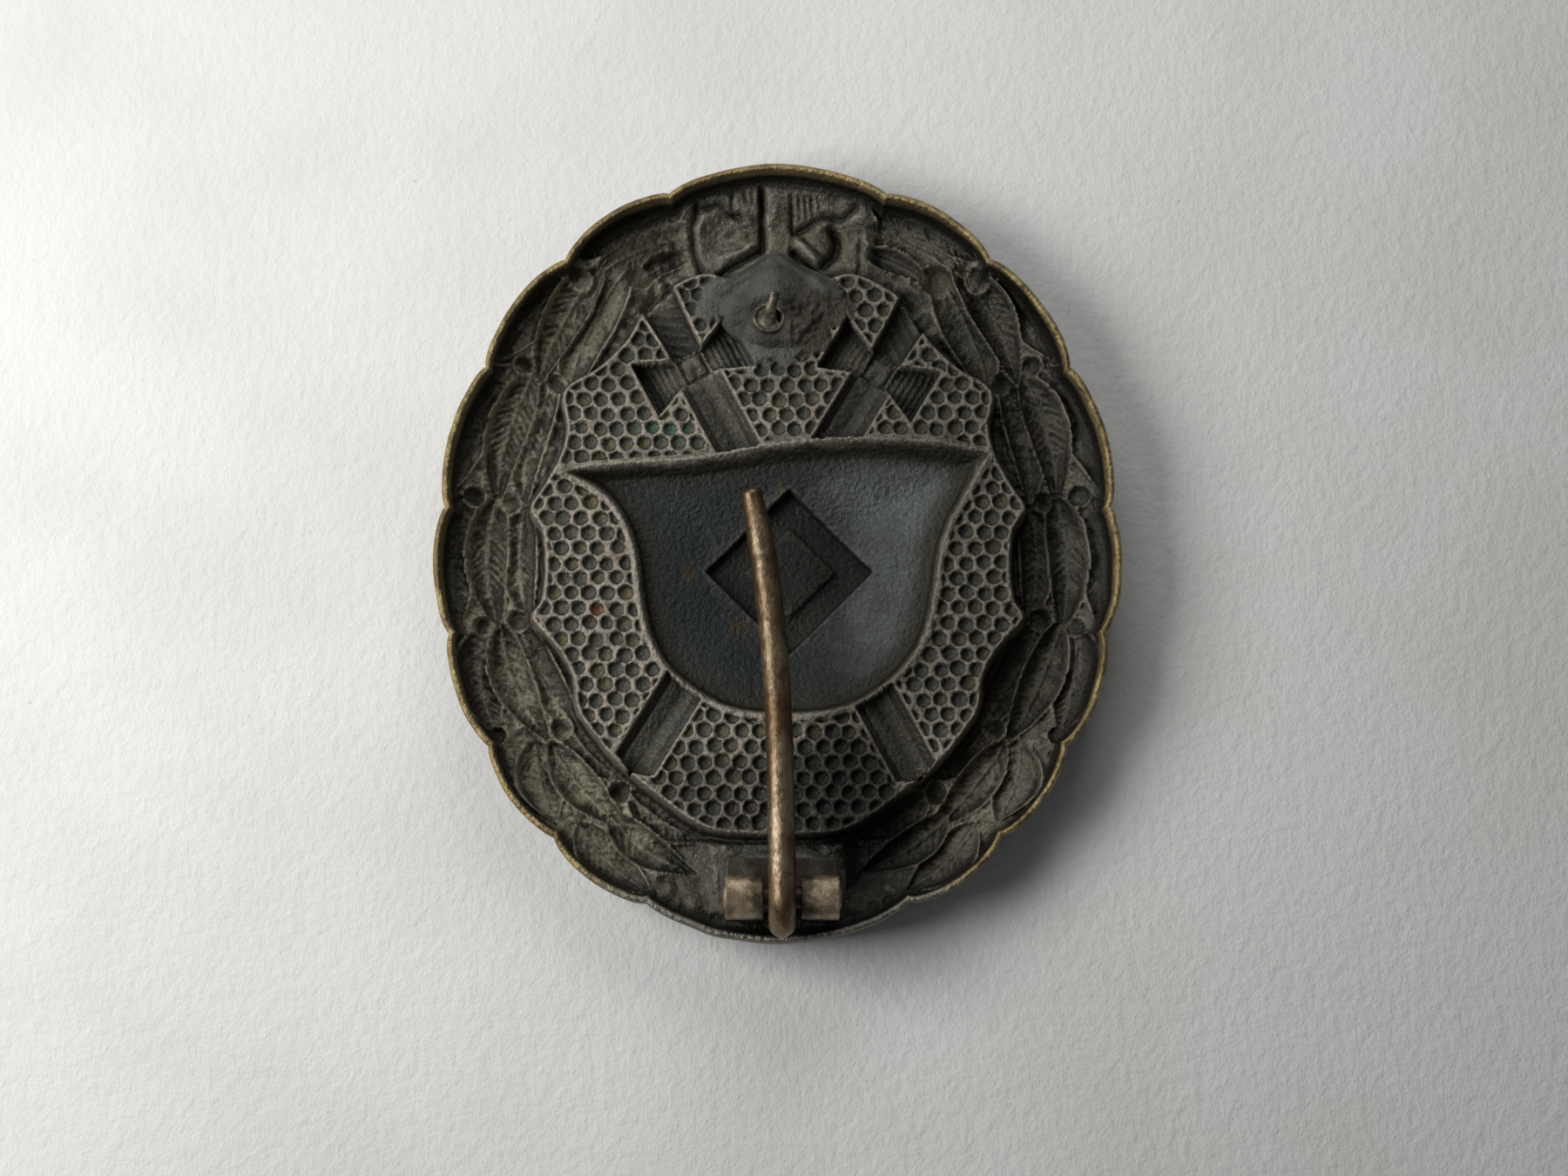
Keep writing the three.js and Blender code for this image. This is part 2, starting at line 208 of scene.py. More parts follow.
def rim_radius(angle):
    """Outer radius of the badge in mm, for directions in degrees."""
    turn = np.mod(angle, 360)
    a = np.radians(turn)
    oval = 1 / np.hypot(np.cos(a) / HALF_WIDTH, np.sin(a) / HALF_LENGTH)
    edges = np.concatenate([[ALL_NOTCHES[-1] - 360], ALL_NOTCHES, [ALL_NOTCHES[0] + 360]])
    after = np.searchsorted(edges, turn, side="right")
    low, high = edges[after - 1], edges[np.minimum(after, len(edges) - 1)]
    across = (turn - low) / np.maximum(high - low, 1e-6)
    bulge = np.sqrt(np.clip(np.sin(np.pi * across), 0, 1))
    uneven = 0.05 * grain(25 * np.cos(a), 25 * np.sin(a), 1.7, 3)
    return oval - SCALLOP_DEPTH * (1 - bulge) - 0.05 + uneven


print("rim radius on the axes:", rim_radius(np.array([0.0, 90.0, 180.0, 270.0])).round(2))

# %% [markdown]
# Two outlines divide the inside: the edge where the wreath begins, and the helmet. Their points are
# placed at the bends, and a smooth curve runs through them. The helmet keeps two sharp brim
# tips, so its brim and its crown are drawn apart and joined.

# %% Outlines of the wreath and the helmet
WREATH_SIDE = [
    (2.4, 15.5), (4.0, 15.8), (5.1, 15.5), (6.2, 14.9), (7.2, 14.1), (7.9, 13.0), (8.5, 11.9),
    (10.1, 10.3), (12.0, 9.0), (11.8, 7.0), (12.1, 5.4), (13.0, 3.6), (13.8, 2.2), (13.1, 1.0),
    (12.9, -1.2), (13.1, -3.0), (13.6, -4.0), (12.2, -5.6), (11.3, -7.2), (11.0, -9.1),
    (9.9, -10.7), (8.9, -11.9), (6.6, -13.8), (4.3, -15.4), (2.2, -15.9),
]
wreath_edge = rounded(WREATH_SIDE + mirrored(WREATH_SIDE)[::-1], 4)

BRIM = [(12.1, 5.5), (9.1, 6.15), (6.0, 6.35), (3.4, 6.4), (0.3, 6.1), (-1.6, 5.85), (-3.8, 5.4),
        (-5.8, 5.15), (-8.4, 5.0), (-11.0, 4.7), (-12.3, 4.3)]
CROWN = [(-12.3, 4.3), (-11.0, 3.65), (-9.7, 2.8), (-8.8, 1.6), (-8.2, 0.0), (-7.95, -1.6),
         (-7.7, -3.4), (-7.2, -5.2), (-6.2, -6.9), (-4.3, -8.4), (-2.2, -9.3), (0.8, -9.5),
         (3.4, -9.2), (5.4, -8.3), (7.3, -6.6), (8.4, -4.6), (8.9, -2.4), (9.2, -0.4), (9.8, 1.5),
         (10.8, 3.2), (12.1, 5.5)]
helmet_edge = np.vstack([rounded(BRIM, 4, closed=False)[:-1], rounded(CROWN, 4, closed=False)[:-1]])
print(len(wreath_edge), "points round the wreath,", len(helmet_edge), "round the helmet")

# %% [markdown]
# The ground inside the wreath is a shallow dish. The helmet is struck much deeper, with a steep wall
# and a smooth floor, and the plain stepped lozenge is sunk once more into that floor.

# %% Ground, helmet and lozenge
GROUND_EDGE = 2.75
GROUND_DISH = 0.35
HELMET_FLOOR = 0.95
LOZENGE = {"x": 0.65, "y": -1.1, "half": 4.75, "floor": 0.52, "step": 2.7, "rise": 0.2}


def ground_level(x, y):
    share = np.clip(np.hypot(x, y) / 13.5, 0, 1)
    return GROUND_EDGE - GROUND_DISH * (1 - share ** 2)


def helmet_level(x, y, depth):
    """Height inside the helmet: a steep wall that is wider under the brim, then a shallow bowl."""
    brim = ramp(y, 2.5, 5.5)
    lip = ground_level(x, y) + 0.1
    sink = ramp(depth, 0.1, 0.6 + 0.6 * brim) ** 0.8
    bowl = 0.75 * (1 - ramp(depth, 0.0, 7.5)) ** 1.5
    floor = HELMET_FLOOR + bowl + 0.03 * grain(x, y, 1.8, 11)
    return lip + (floor - lip) * sink


def lozenge_reach(x, y):
    """Distance in mm inside the lozenge's edge."""
    return (LOZENGE["half"] - abs(x - LOZENGE["x"]) - abs(y - LOZENGE["y"])) / math.sqrt(2)


def lozenge_level(x, y, level):
    reach = lozenge_reach(x, y)
    floor = LOZENGE["floor"] + 0.05 * ramp(reach, 0.7, 0.3) + 0.012 * grain(x, y, 0.35, 12)
    inner = reach - (LOZENGE["half"] - LOZENGE["step"]) / math.sqrt(2)
    floor = floor + LOZENGE["rise"] * ramp(inner, 0.0, 0.14)
    lip = 0.05 * hump(reach, -0.06, 0.09)
    return level + lip + (floor - level) * ramp(reach, 0.0, 0.16)


print("helmet floor lies", round(GROUND_EDGE - HELMET_FLOOR, 2), "mm under the ground")

# %% [markdown]
# Both swords follow one drawing in their own coordinates: `along` runs from the crossing to the
# pommel and `across` is the distance from the middle line. A blade is a groove with two flat facets,
# the guard flares outwards and is finely ribbed, the grip is ribbed across, and the pommel is round.

# %% Crossed swords
CROSSING = (0.22, 1.2)
SWORD_LEANS = (31.2, -28.3)
BLADE_TIP, GRIP_START, GRIP_END = -16.2, 11.7, 16.2
GUARD_AT, GUARD_REACH = 10.6, 3.1
POMMEL, POMMEL_RADIUS = 17.0, 0.95


def blade_strike(along, across):
    """Two flat facets that meet on the middle line and end in a blunt point."""
    point = 1.2 * ramp(along, BLADE_TIP, BLADE_TIP + 0.7)
    on_blade = (across < point + 0.06) & (along < GUARD_AT)
    facet = 0.4 + 0.5 * (1 - across / 1.2) + 0.12 * hump(across, 0.85, 0.1)
    return np.where(on_blade, facet * ramp(across, 1.26, 1.14), 0)


def guard_strike(along, across):
    """A ribbed guard that flares outwards, with a square block in its middle."""
    flare = 0.7 + 0.95 * np.clip((across - 0.8) / 2.2, 0, 1.1)
    edge = np.minimum(flare - abs(along - GUARD_AT), GUARD_REACH - across)
    ribs = 0.055 * np.cos(2 * np.pi * across / 0.36) * ramp(across, 0.9, 1.3)
    guard = (0.85 + 0.3 * ramp(across, 1.2, GUARD_REACH) + ribs) * ramp(edge, -0.03, 0.12)
    block_edge = 0.85 - np.maximum(across, abs(along - GUARD_AT))
    block = (0.95 - 0.18 * ramp(block_edge, 0.2, 0.32)) * ramp(block_edge, -0.03, 0.12)
    return np.where(block_edge > 0, block, guard)


def grip_strike(along, side):
    """A round grip with a twist of ribs, and the round pommel at its end."""
    across = abs(side)
    grip_half = 0.95 + 0.25 * ramp(along, GRIP_START, GRIP_END)
    twist = 0.05 * np.cos(2 * np.pi * (along + 0.6 * side) / 0.66)
    bowl = 0.62 + 0.5 * np.sqrt(np.clip(1 - (across / grip_half) ** 2, 0, 1)) + twist
    on_grip = (along > GUARD_AT + 0.8) & (along < GRIP_END)
    grip = np.where(on_grip, bowl * ramp(grip_half - across, -0.03, 0.12), 0)
    ball = np.hypot(across, along - POMMEL) / POMMEL_RADIUS
    pommel = np.where(ball < 1, 0.75 + 1.0 * np.sqrt(np.clip(1 - ball ** 2, 0, 1)), 0)
    return np.maximum(grip, pommel)


def one_sword(x, y, lean):
    """Depth of the strike in mm, and how surely a point belongs to the sword."""
    a = math.radians(lean)
    along = (y - CROSSING[1]) * math.cos(a) + (x - CROSSING[0]) * math.sin(a)
    side = (x - CROSSING[0]) * math.cos(a) - (y - CROSSING[1]) * math.sin(a)
    parts = [blade_strike(along, abs(side)), guard_strike(along, abs(side)), grip_strike(along, side)]
    depth = np.maximum.reduce(parts)
    return depth, ramp(depth, 0.02, 0.2)


def sword_strike(x, y):
    (first, mask_a), (second, mask_b) = (one_sword(x, y, lean) for lean in SWORD_LEANS)
    return np.maximum(first, second), np.maximum(mask_a, mask_b)


print("guard at", GUARD_AT, "mm from the crossing, pommel at", POMMEL)

# %% [markdown]
# The wreath is laid out as bundles: three leaves to each scallop, the third of them on top, and
# berries where one bundle grows out of the next. A leaf is a line from its base to its tip and a
# width. The left half mirrors the right one.

# %% Leaves and berries of the wreath
# base x, base y, tip x, tip y, width
LEAVES = [
    (5.6, 19.8, 11.0, 16.9, 2.0), (4.9, 18.6, 10.3, 15.9, 1.9), (4.9, 17.5, 8.6, 15.4, 1.5),
    (12.3, 15.3, 15.6, 11.2, 2.2), (8.7, 16.4, 11.9, 9.2, 2.4), (10.2, 16.2, 13.6, 10.2, 2.5),
    (15.2, 10.4, 18.1, 3.8, 2.2), (12.9, 10.0, 14.3, 3.1, 1.7), (14.1, 10.1, 15.8, 3.2, 2.5),
    (17.6, 2.9, 17.9, -3.9, 2.3), (14.3, 2.6, 13.9, -3.8, 1.7), (15.9, 3.0, 15.8, -4.1, 2.7),
    (16.5, -4.3, 15.7, -10.0, 2.2), (14.4, -4.1, 11.2, -9.8, 1.9), (15.6, -4.2, 12.9, -10.3, 2.6),
    (13.4, -10.8, 12.3, -14.9, 2.0), (11.6, -9.7, 8.9, -12.6, 1.8), (12.5, -10.9, 8.7, -15.1, 2.4),
    (10.9, -15.4, 7.3, -18.8, 2.0), (8.2, -13.6, 4.2, -15.9, 1.7), (9.3, -14.8, 5.0, -17.7, 2.3),
]
# x, y, radius
BERRIES = [
    (11.3, 15.6, 0.7), (12.7, 9.9, 0.6), (14.5, 10.7, 0.55), (15.1, 2.9, 0.6), (17.1, 3.1, 0.6),
    (14.6, -3.8, 0.65), (16.6, -4.3, 0.55), (12.0, -10.0, 0.6), (15.5, -10.5, 0.5),
    (8.8, -13.5, 0.6),
]
print(2 * len(LEAVES), "leaves and", 2 * len(BERRIES), "berries")

# %% [markdown]
# Seen from the back a leaf is a shallow bowl, bent a little to one side, with a raised midrib and
# feathered veins. Each leaf has a raised outline, and the leaf on top is struck deepest. A berry is a
# small cup with a raised ring.

# %% Form of the leaves
WREATH_LEVEL = 1.25
LEAF_DEPTH = 0.68
LEAF_SPREAD = 1.16
TOP_LEAF_SPREAD = 0.86
EXTRA_DEPTHS = (0.1, 0.16, 0.34)


def one_leaf(x, y, leaf, spread):
    """How far out a point lies (0 on the midrib, 1 on the edge), and the leaf's depth there."""
    base, tip, width = np.array(leaf[:2]), np.array(leaf[2:4]), leaf[4] * spread
    base, tip = base - 0.03 * (tip - base), tip + 0.05 * (tip - base)
    length = np.hypot(*(tip - base))
    d = (tip - base) / length
    along = (x - base[0]) * d[0] + (y - base[1]) * d[1]
    side = (x - base[0]) * -d[1] + (y - base[1]) * d[0]
    beyond = np.maximum(np.maximum(-along, along - length), 0)
    share = np.clip(along / length, 1e-4, 1 - 1e-4)
    side = side - 0.07 * length * 4 * share * (1 - share)
    half = width / 2 * np.sin(np.pi * share ** 0.8) ** 0.72 + 0.05
    out = abs(side) / half + beyond / 0.5
    bowl = (1 - np.clip(out, 0, 1) ** 5) * (0.72 + 0.28 * np.sin(np.pi * share))
    midrib = 0.24 * hump(side, 0, 0.09) * ramp(share, 1.0, 0.85)
    wave = 2 * np.pi * (along - 1.1 * abs(side)) / 0.47 + 2.2 * grain(x, y, 0.8, 25)
    clear = 0.35 + 0.65 * ramp(grain(x, y, 1.9, 26), -0.3, 0.4)
    veins = 0.12 * clear * np.cos(wave) * ramp(out, 0.08, 0.25) * ramp(out, 1.0, 0.75)
    return out, LEAF_DEPTH * (bowl - midrib + veins * bowl)


def wreath_level(x, y):
    """Height of the wreath: the top leaf of a bundle, or else the leaf whose midrib is nearest."""
    rough = 0.05 * grain(x, y, 0.24, 21) + 0.06 * grain(x, y, 0.6, 22)
    x, y = abs(x + 0.14 * grain(x, y, 3.1, 23)), y + 0.14 * grain(x, y, 2.7, 24)
    nearest, depth = np.full(x.shape, 1.12), 0.3 + 0.16 * grain(x, y, 0.38, 27)
    for number, leaf in enumerate(LEAVES):
        on_top = number % 3 == 2
        out, form = one_leaf(x, y, leaf, TOP_LEAF_SPREAD if on_top else LEAF_SPREAD)
        ahead = out < (1.06 if on_top else nearest)
        lift = 0.2 * hump(out, 0.98, 0.07)
        sunk = EXTRA_DEPTHS[number % 3] * ramp(out, 1.0, 0.93)
        depth = np.where(ahead, 0.85 * form + sunk - lift, depth)
        nearest = np.where(ahead, out, nearest)
    for bx, by, radius in BERRIES:
        ball = np.hypot(x - bx, y - by) / radius
        cup = 0.35 + 0.4 * np.sqrt(np.clip(1 - ball ** 2, 0, 1))
        depth = np.where(ball < 1, cup, depth - 0.16 * hump(ball, 1.06, 0.09))
    beside_grip = 0.95 * heap(x, y, (8.7, 15.4), (2.3, 2.4))
    return WREATH_LEVEL + beside_grip - depth + rough


print("height of the wreath at one point:", wreath_level(np.array([15.8]), np.array([0.0])).round(2))

# %% [markdown]
# The ribbon bow closes the wreath at the top. It is a handful of folds, so it is drawn with strokes:
# a groove or a ridge is a line with a width and a depth. The middle bar, the two loops and the folds
# that run into the knot are all strokes. At the other end the wreath is pressed flat for the hinge.

# %% Ribbon bow and hinge seat
# line of points, width, depth (a negative depth stands up)
BOW_STROKES = [
    ([(-0.95, 20.9), (-0.9, 17.7)], 0.17, 0.85),
    ([(0.8, 20.6), (0.85, 17.9)], 0.1, 0.3),
    ([(-4.6, 19.9), (-4.9, 18.6), (-4.7, 17.2), (-4.2, 16.0)], 0.24, 0.6),
    ([(-4.2, 19.9), (-3.4, 20.1), (-2.7, 19.6), (-2.2, 19.7)], 0.16, 0.4),
    ([(-1.1, 17.6), (-2.1, 17.0), (-2.9, 16.5), (-3.8, 15.6)], 0.2, 0.75),
    ([(-1.2, 18.1), (-2.3, 17.5), (-3.3, 17.2)], 0.15, -0.25),
    ([(-1.3, 19.2), (-2.9, 18.5)], 0.12, 0.22),
    ([(-1.3, 18.7), (-3.1, 18.0)], 0.1, 0.16),
    ([(-2.6, 20.6), (-2.5, 19.6), (-1.3, 19.4)], 0.12, 0.3),
    ([(-1.9, 20.9), (-1.8, 20.3)], 0.08, 0.2),
    ([(-1.5, 20.9), (-1.4, 20.3)], 0.08, 0.2),
    ([(1.1, 18.7), (1.8, 19.1), (2.7, 19.5), (3.7, 19.4), (4.5, 19.9)], 0.18, 0.5),
    ([(3.15, 18.8), (3.4, 18.1), (3.2, 17.4), (2.6, 16.8)], 0.27, 0.85),
    ([(0.9, 17.5), (1.7, 16.6), (2.5, 15.9), (4.2, 15.6)], 0.22, 0.8),
    ([(1.1, 18.2), (2.3, 16.9)], 0.24, -0.35),
    ([(1.5, 18.3), (2.6, 17.3)], 0.09, 0.35),
    ([(1.2, 20.5), (1.3, 19.4)], 0.08, 0.28),
    ([(1.55, 20.5), (1.65, 19.5)], 0.08, 0.28),
    ([(1.9, 20.5), (2.0, 19.6)], 0.08, 0.28),
    ([(2.3, 20.5), (2.4, 19.8)], 0.08, 0.22),
    ([(4.75, 18.7), (4.7, 17.2), (4.6, 15.9)], 0.14, 0.25),
]
BOW_LEVEL = 1.35
HINGE_SEAT = 1.9


def bow_level(x, y):
    level = BOW_LEVEL + 0.1 * ramp(abs(x), 0.7, 0.5) + 0.1 * grain(x, y, 0.5, 31)
    level = level - 0.25 * heap(abs(x), y, (3.6, 18.2), (0.9, 1.6))
    for points, width, depth in BOW_STROKES:
        line = rounded(points, 5, closed=False)
        level = level - 0.7 * depth * hump(distance_to(x, y, line), 0, width)
    return level


def add_bow_and_seat(x, y, level, slope):
    bow = ramp(abs(x), 6.0, 4.8) * ramp(y, 14.6, 15.2)
    level = level + (np.minimum(bow_level(x, y) + slope, 2.4) - level) * bow
    seat = ramp(abs(x), 4.6, 3.4) * ramp(y, -15.9, -16.6)
    rough = 0.1 * grain(x, y, 0.4, 41) + 0.08 * grain(x, y, 1.1, 42)
    return level + (HINGE_SEAT - 0.08 + rough - level) * seat


print(len(BOW_STROKES), "strokes in the bow")

# %% [markdown]
# Now the zones are put together. The order is the order of the die: ground, wreath, swords, helmet,
# lozenge, and last the rim's wall, which climbs from whatever lies at its foot. The same function
# also says which zone a point lies in, because the pits and the paint need to know.

# %% The whole relief
RIM_WIDTH = 0.34
WALL_RUN = 0.5
RIM_SLOPE = 1.15
BEAD = 0.07


def near_swords(x, y, margin=0.2):
    """1 on the swords and within a margin of them."""
    found = sword_strike(x, y)[1]
    for turn in np.arange(8) * math.pi / 4:
        shifted = sword_strike(x + margin * math.cos(turn), y + margin * math.sin(turn))[1]
        found = np.maximum(found, shifted)
    return found


def catch_hill(x, y):
    """Share of the solder hill that hides the ground under the catch, fading out raggedly."""
    reach = np.hypot((x + 0.1) / (4.1 - 0.55 * ramp(y, 13.5, 11.0)), (y - 13.9) / 3.05)
    reach = reach + 0.13 * grain(x, y, 0.55, 91) + 0.1 * grain(x, y, 1.3, 92)
    return ramp(reach, 1.12, 0.9)


def relief(x, y):
    """Height of the hollow side in mm, and the zones as numbers from 0 to 1."""
    past_edge = -depth_inside(x, y, wreath_edge)
    in_helmet = depth_inside(x, y, helmet_edge)
    to_rim = rim_radius(np.degrees(np.arctan2(y, x))) - RIM_WIDTH - np.hypot(x, y)
    ground = ground_level(x, y)
    slope = RIM_SLOPE * ramp(to_rim, 3.0, 0.1)
    leaves = add_bow_and_seat(x, y, wreath_level(x, y) + slope, slope)
    hill = catch_hill(x, y)
    bead = BEAD * hump(past_edge, -0.12, 0.16) * ramp(y, -14.0, -11.5) * (1 - hill)
    level = ground + bead + (leaves - ground - bead) * ramp(past_edge, 0.0, 0.4)
    strike, on_sword = sword_strike(x, y)
    upper = (y > CROSSING[1]) | (past_edge < 0.15)
    sword = np.minimum(ground - strike, np.where(past_edge > 0, leaves - 0.1, 9))
    level = level + (sword - level) * on_sword * upper
    bead = BEAD * hump(in_helmet, -0.14, 0.15)
    inside = lozenge_level(x, y, helmet_level(x, y, in_helmet))
    level = np.where(in_helmet > 0.0, inside, level + bead)
    wall = 1 - np.sqrt(1 - np.clip(1 - to_rim / WALL_RUN, 0, 1) ** 2)
    level = level + (RIM_TOP - level) * wall
    zones = {
        "ground": ramp(past_edge, -0.08, -0.22) * ramp(in_helmet, -0.13, -0.27)
        * (1 - near_swords(x, y)) * (1 - ramp(hill, 0.2, 0.7)),
        "hill": hill * ramp(past_edge, 1.2, 0.3),
        "wreath": ramp(past_edge, 0.2, 0.5),
        "sword": on_sword * upper * (in_helmet < 0),
        "brim": ramp(in_helmet, 0.0, 0.3) * ramp(in_helmet, 1.9, 0.9),
        "floor": ramp(in_helmet, 0.5, 1.1),
        "lozenge": ramp(lozenge_reach(x, y), 0.0, 0.12),
        "wall": wall,
    }
    return level, zones


sample_level, _ = relief(np.array([0.65, 10.0, 0.0]), np.array([-1.1, -1.0, -12.5]))
print("heights at the lozenge, on the right ground, on the lower ground:", sample_level.round(2))

# %% [markdown]
# The front of the sheet is the hollow side moved through the metal by its thickness. Sheet metal
# can't follow the smallest hollows, so the front is found as a ball of that radius would roll under
# the hollow side: for each point, the lowest of all the neighbouring heights less the ball.

# %% Heights of the front
RASTER = 0.12


def front_heights():
    x = np.arange(-HALF_WIDTH - 0.6, HALF_WIDTH + 0.6, RASTER)
    y = np.arange(-HALF_LENGTH - 0.6, HALF_LENGTH + 0.6, RASTER)
    level, _ = relief(*np.meshgrid(x, y))
    lowest = np.full(level.shape, 9.0)
    reach = int(SHEET / RASTER)
    for i in range(-reach, reach + 1):
        for j in range(-reach, reach + 1):
            ball = SHEET ** 2 - (i * i + j * j) * RASTER ** 2
            if ball >= 0:
                moved = np.roll(level, (i, j), axis=(0, 1)) - math.sqrt(ball)
                lowest = np.minimum(lowest, moved)
    return x, y, np.maximum(lowest, 0.0)


def look_up(table, x, y):
    """Height from a raster table at any point, by straight interpolation."""
    xs, ys, heights = table
    u = np.clip((x - xs[0]) / RASTER, 0, len(xs) - 1.001)
    v = np.clip((y - ys[0]) / RASTER, 0, len(ys) - 1.001)
    i, j = u.astype(int), v.astype(int)
    a, b = u - i, v - j
    near = heights[j, i] * (1 - a) + heights[j, i + 1] * a
    far = heights[j + 1, i] * (1 - a) + heights[j + 1, i + 1] * a
    return near * (1 - b) + far * b


front_table = front_heights()
print("front heights from", front_table[2].min().round(2), "to", front_table[2].max().round(2))

# %% [markdown]
# The sheet becomes one closed mesh. A square grid is bent until it fills the scalloped oval: this
# keeps the faces even, where a fan of spokes would crowd them in the middle.

# %% Tools for the sheet's mesh
def oval_grid(step, radius_of):
    """Points of a square grid bent to fill the outline, with its faces and its outer loop."""
    nx, ny = int(2 * HALF_WIDTH / step), int(2 * HALF_LENGTH / step)
    a, b = np.meshgrid(np.linspace(-1, 1, nx), np.linspace(-1, 1, ny))
    x = a * np.sqrt(1 - b * b / 2) * HALF_WIDTH
    y = b * np.sqrt(1 - a * a / 2) * HALF_LENGTH
    turn = np.arctan2(y, x)
    oval = 1 / np.hypot(np.cos(turn) / HALF_WIDTH, np.sin(turn) / HALF_LENGTH)
    scale = radius_of(np.degrees(turn)) / oval
    index = np.arange(nx * ny).reshape(ny, nx)
    quads = np.stack([index[:-1, :-1], index[:-1, 1:], index[1:, 1:], index[1:, :-1]], -1)
    loop = np.concatenate([index[0, :-1], index[:-1, -1], index[-1, :0:-1], index[:0:-1, 0]])
    return (x * scale).ravel(), (y * scale).ravel(), quads.reshape(-1, 4), loop, (ny, nx)


def stitch(upper, upper_turn, lower, lower_turn):
    """Triangles of a wall between two closed loops with different numbers of points."""
    faces, i, j = [], 0, 0
    upper_turn = np.append(upper_turn, upper_turn[0] + 2 * math.pi)
    lower_turn = np.append(lower_turn, lower_turn[0] + 2 * math.pi)
    while i < len(upper) or j < len(lower):
        a, b = upper[i % len(upper)], lower[j % len(lower)]
        if j == len(lower) or (i < len(upper) and upper_turn[i + 1] <= lower_turn[j + 1]):
            i += 1
            faces.append((a, b, upper[i % len(upper)]))
        else:
            j += 1
            faces.append((a, b, lower[j % len(lower)]))
    return faces


def blurred(grid, cells):
    """Average of a grid over a soft window that is the given number of cells wide."""
    reach = int(cells * 2.5) + 1
    window = np.exp(-0.5 * (np.arange(-reach, reach + 1) / cells) ** 2)
    window /= window.sum()
    wide = np.pad(grid, reach, mode="edge")
    rows = sum(w * wide[:, k:k + grid.shape[1]] for k, w in enumerate(window))
    return sum(w * rows[k:k + grid.shape[0]] for k, w in enumerate(window))


print("mesh tools ready")

# %% [markdown]
# Three more helpers go between lists of millimetres and Blender's meshes. One makes a new object, one
# reads its points back, and one stores a number for each point under a name.

# %% Tools for Blender's meshes
def write_attribute(mesh, name, values):
    attribute = mesh.attributes.get(name) or mesh.attributes.new(name, "FLOAT", "POINT")
    attribute.data.foreach_set("value", np.asarray(values, np.float32))


def read_points(mesh):
    points = np.empty(len(mesh.vertices) * 3, np.float32)
    mesh.vertices.foreach_get("co", points)
    return points.reshape(-1, 3).astype(float) / MM


def new_piece(name, points_mm, faces):
    mesh = bpy.data.meshes.new(name)
    mesh.from_pydata((np.asarray(points_mm) * MM).tolist(), [], faces)
    mesh.validate()
    mesh.shade_smooth()
    piece = bpy.data.objects.new(name, mesh)
    bpy.context.scene.collection.objects.link(piece)
    return piece


print("tools for making objects ready")

# %% [markdown]
# The hollow side gets a fine grid, the front a coarser one, and three narrow loops round off the cut
# edge between them.

# %% Build the sheet
FINE = 0.11
COARSE = 0.22


def inner_radius(angle):
    return rim_radius(angle) - RIM_WIDTH


def back_side():
    """Points, faces, outer loop, grid shape and zones of the hollow side."""
    x, y, quads, loop, shape = oval_grid(FINE, inner_radius)
    z, zones = relief(x, y)
    softer = blurred(z.reshape(shape), 0.5).ravel()
    z = z + (softer - z) * zones["wreath"] * (1 - zones["wall"])
    z[loop] = RIM_TOP - 0.07
    return np.stack([x, y, z], 1), quads, loop, shape, zones


def front_side():
    """Points, faces, outer loop and zones of the front."""
    x, y, quads, loop, _ = oval_grid(COARSE, rim_radius)
    z = np.minimum(look_up(front_table, x, y), RIM_TOP - 0.4)
    return np.stack([x, y, z], 1), quads[:, ::-1], loop, relief(x, y)[1]


def rim_loops(turn):
    """Three loops that round off the cut edge, with a faint knurl at the bottom."""
    outer = rim_radius(np.degrees(turn))
    loops = []
    for radius, height in [(outer - RIM_WIDTH + 0.09, RIM_TOP), (outer - 0.1, RIM_TOP),
                           (outer, RIM_TOP - 0.1)]:
        x, y = radius * np.cos(turn), radius * np.sin(turn)
        milled = 0.022 * np.cos(300 * turn) * ramp(y, -18.5, -19.5)
        height = height + milled + 0.02 * grain(x, y, 1.3, 5) - 0.02
        loops.append(np.stack([x, y, height], 1))
    return loops


def sheet_masks(zones, front_zones, front_z, on_rim):
    """The zones of every point: hollow side, rim and front."""
    masks = {}
    for name, values in zones.items():
        rim = np.full(on_rim, 1.0 if name == "wall" else 0.0)
        masks[name] = np.concatenate([values, rim, front_zones[name]])
    bare = np.where(zones["wall"] > 0.98, 1.0, 0.0)
    masks["brass"] = np.concatenate([bare, np.ones(on_rim), ramp(front_z, 3.0, 3.4)])
    return masks


def turn_of(points):
    return np.unwrap(np.arctan2(points[:, 1], points[:, 0]))


def sheet_mesh():
    back, back_quads, back_loop, shape, zones = back_side()
    front, front_quads, front_loop, front_zones = front_side()
    turn = turn_of(back[back_loop])
    count = len(back_loop)
    first_front = len(back) + 3 * count
    rings = [back_loop] + [len(back) + k * count + np.arange(count) for k in range(3)]
    faces = back_quads.tolist() + (front_quads + first_front).tolist()
    for inner, outside in zip(rings, rings[1:]):
        bands = zip(inner, outside, np.roll(outside, -1), np.roll(inner, -1))
        faces += [tuple(map(int, band)) for band in bands]
    front_edge = (front_loop + first_front).tolist()
    faces += stitch(rings[-1].tolist(), turn, front_edge, turn_of(front[front_loop]))
    masks = sheet_masks(zones, front_zones, front[:, 2], 3 * count)
    return np.vstack([back, *rim_loops(turn), front]), faces, masks, shape


sheet_points, sheet_faces, sheet_masks, back_shape = sheet_mesh()
sheet = new_piece("struck_sheet", sheet_points, sheet_faces)
for mask_name, mask_values in sheet_masks.items():
    write_attribute(sheet.data, mask_name, mask_values)
print("sheet:", len(sheet.data.vertices), "points,", len(sheet.data.polygons), "faces")

# %% [markdown]
# Geometry Nodes and paint are both node trees, so one small class writes both. It makes a node, sets
# it up and returns one of its outputs. A socket takes a plain value or another node's output.

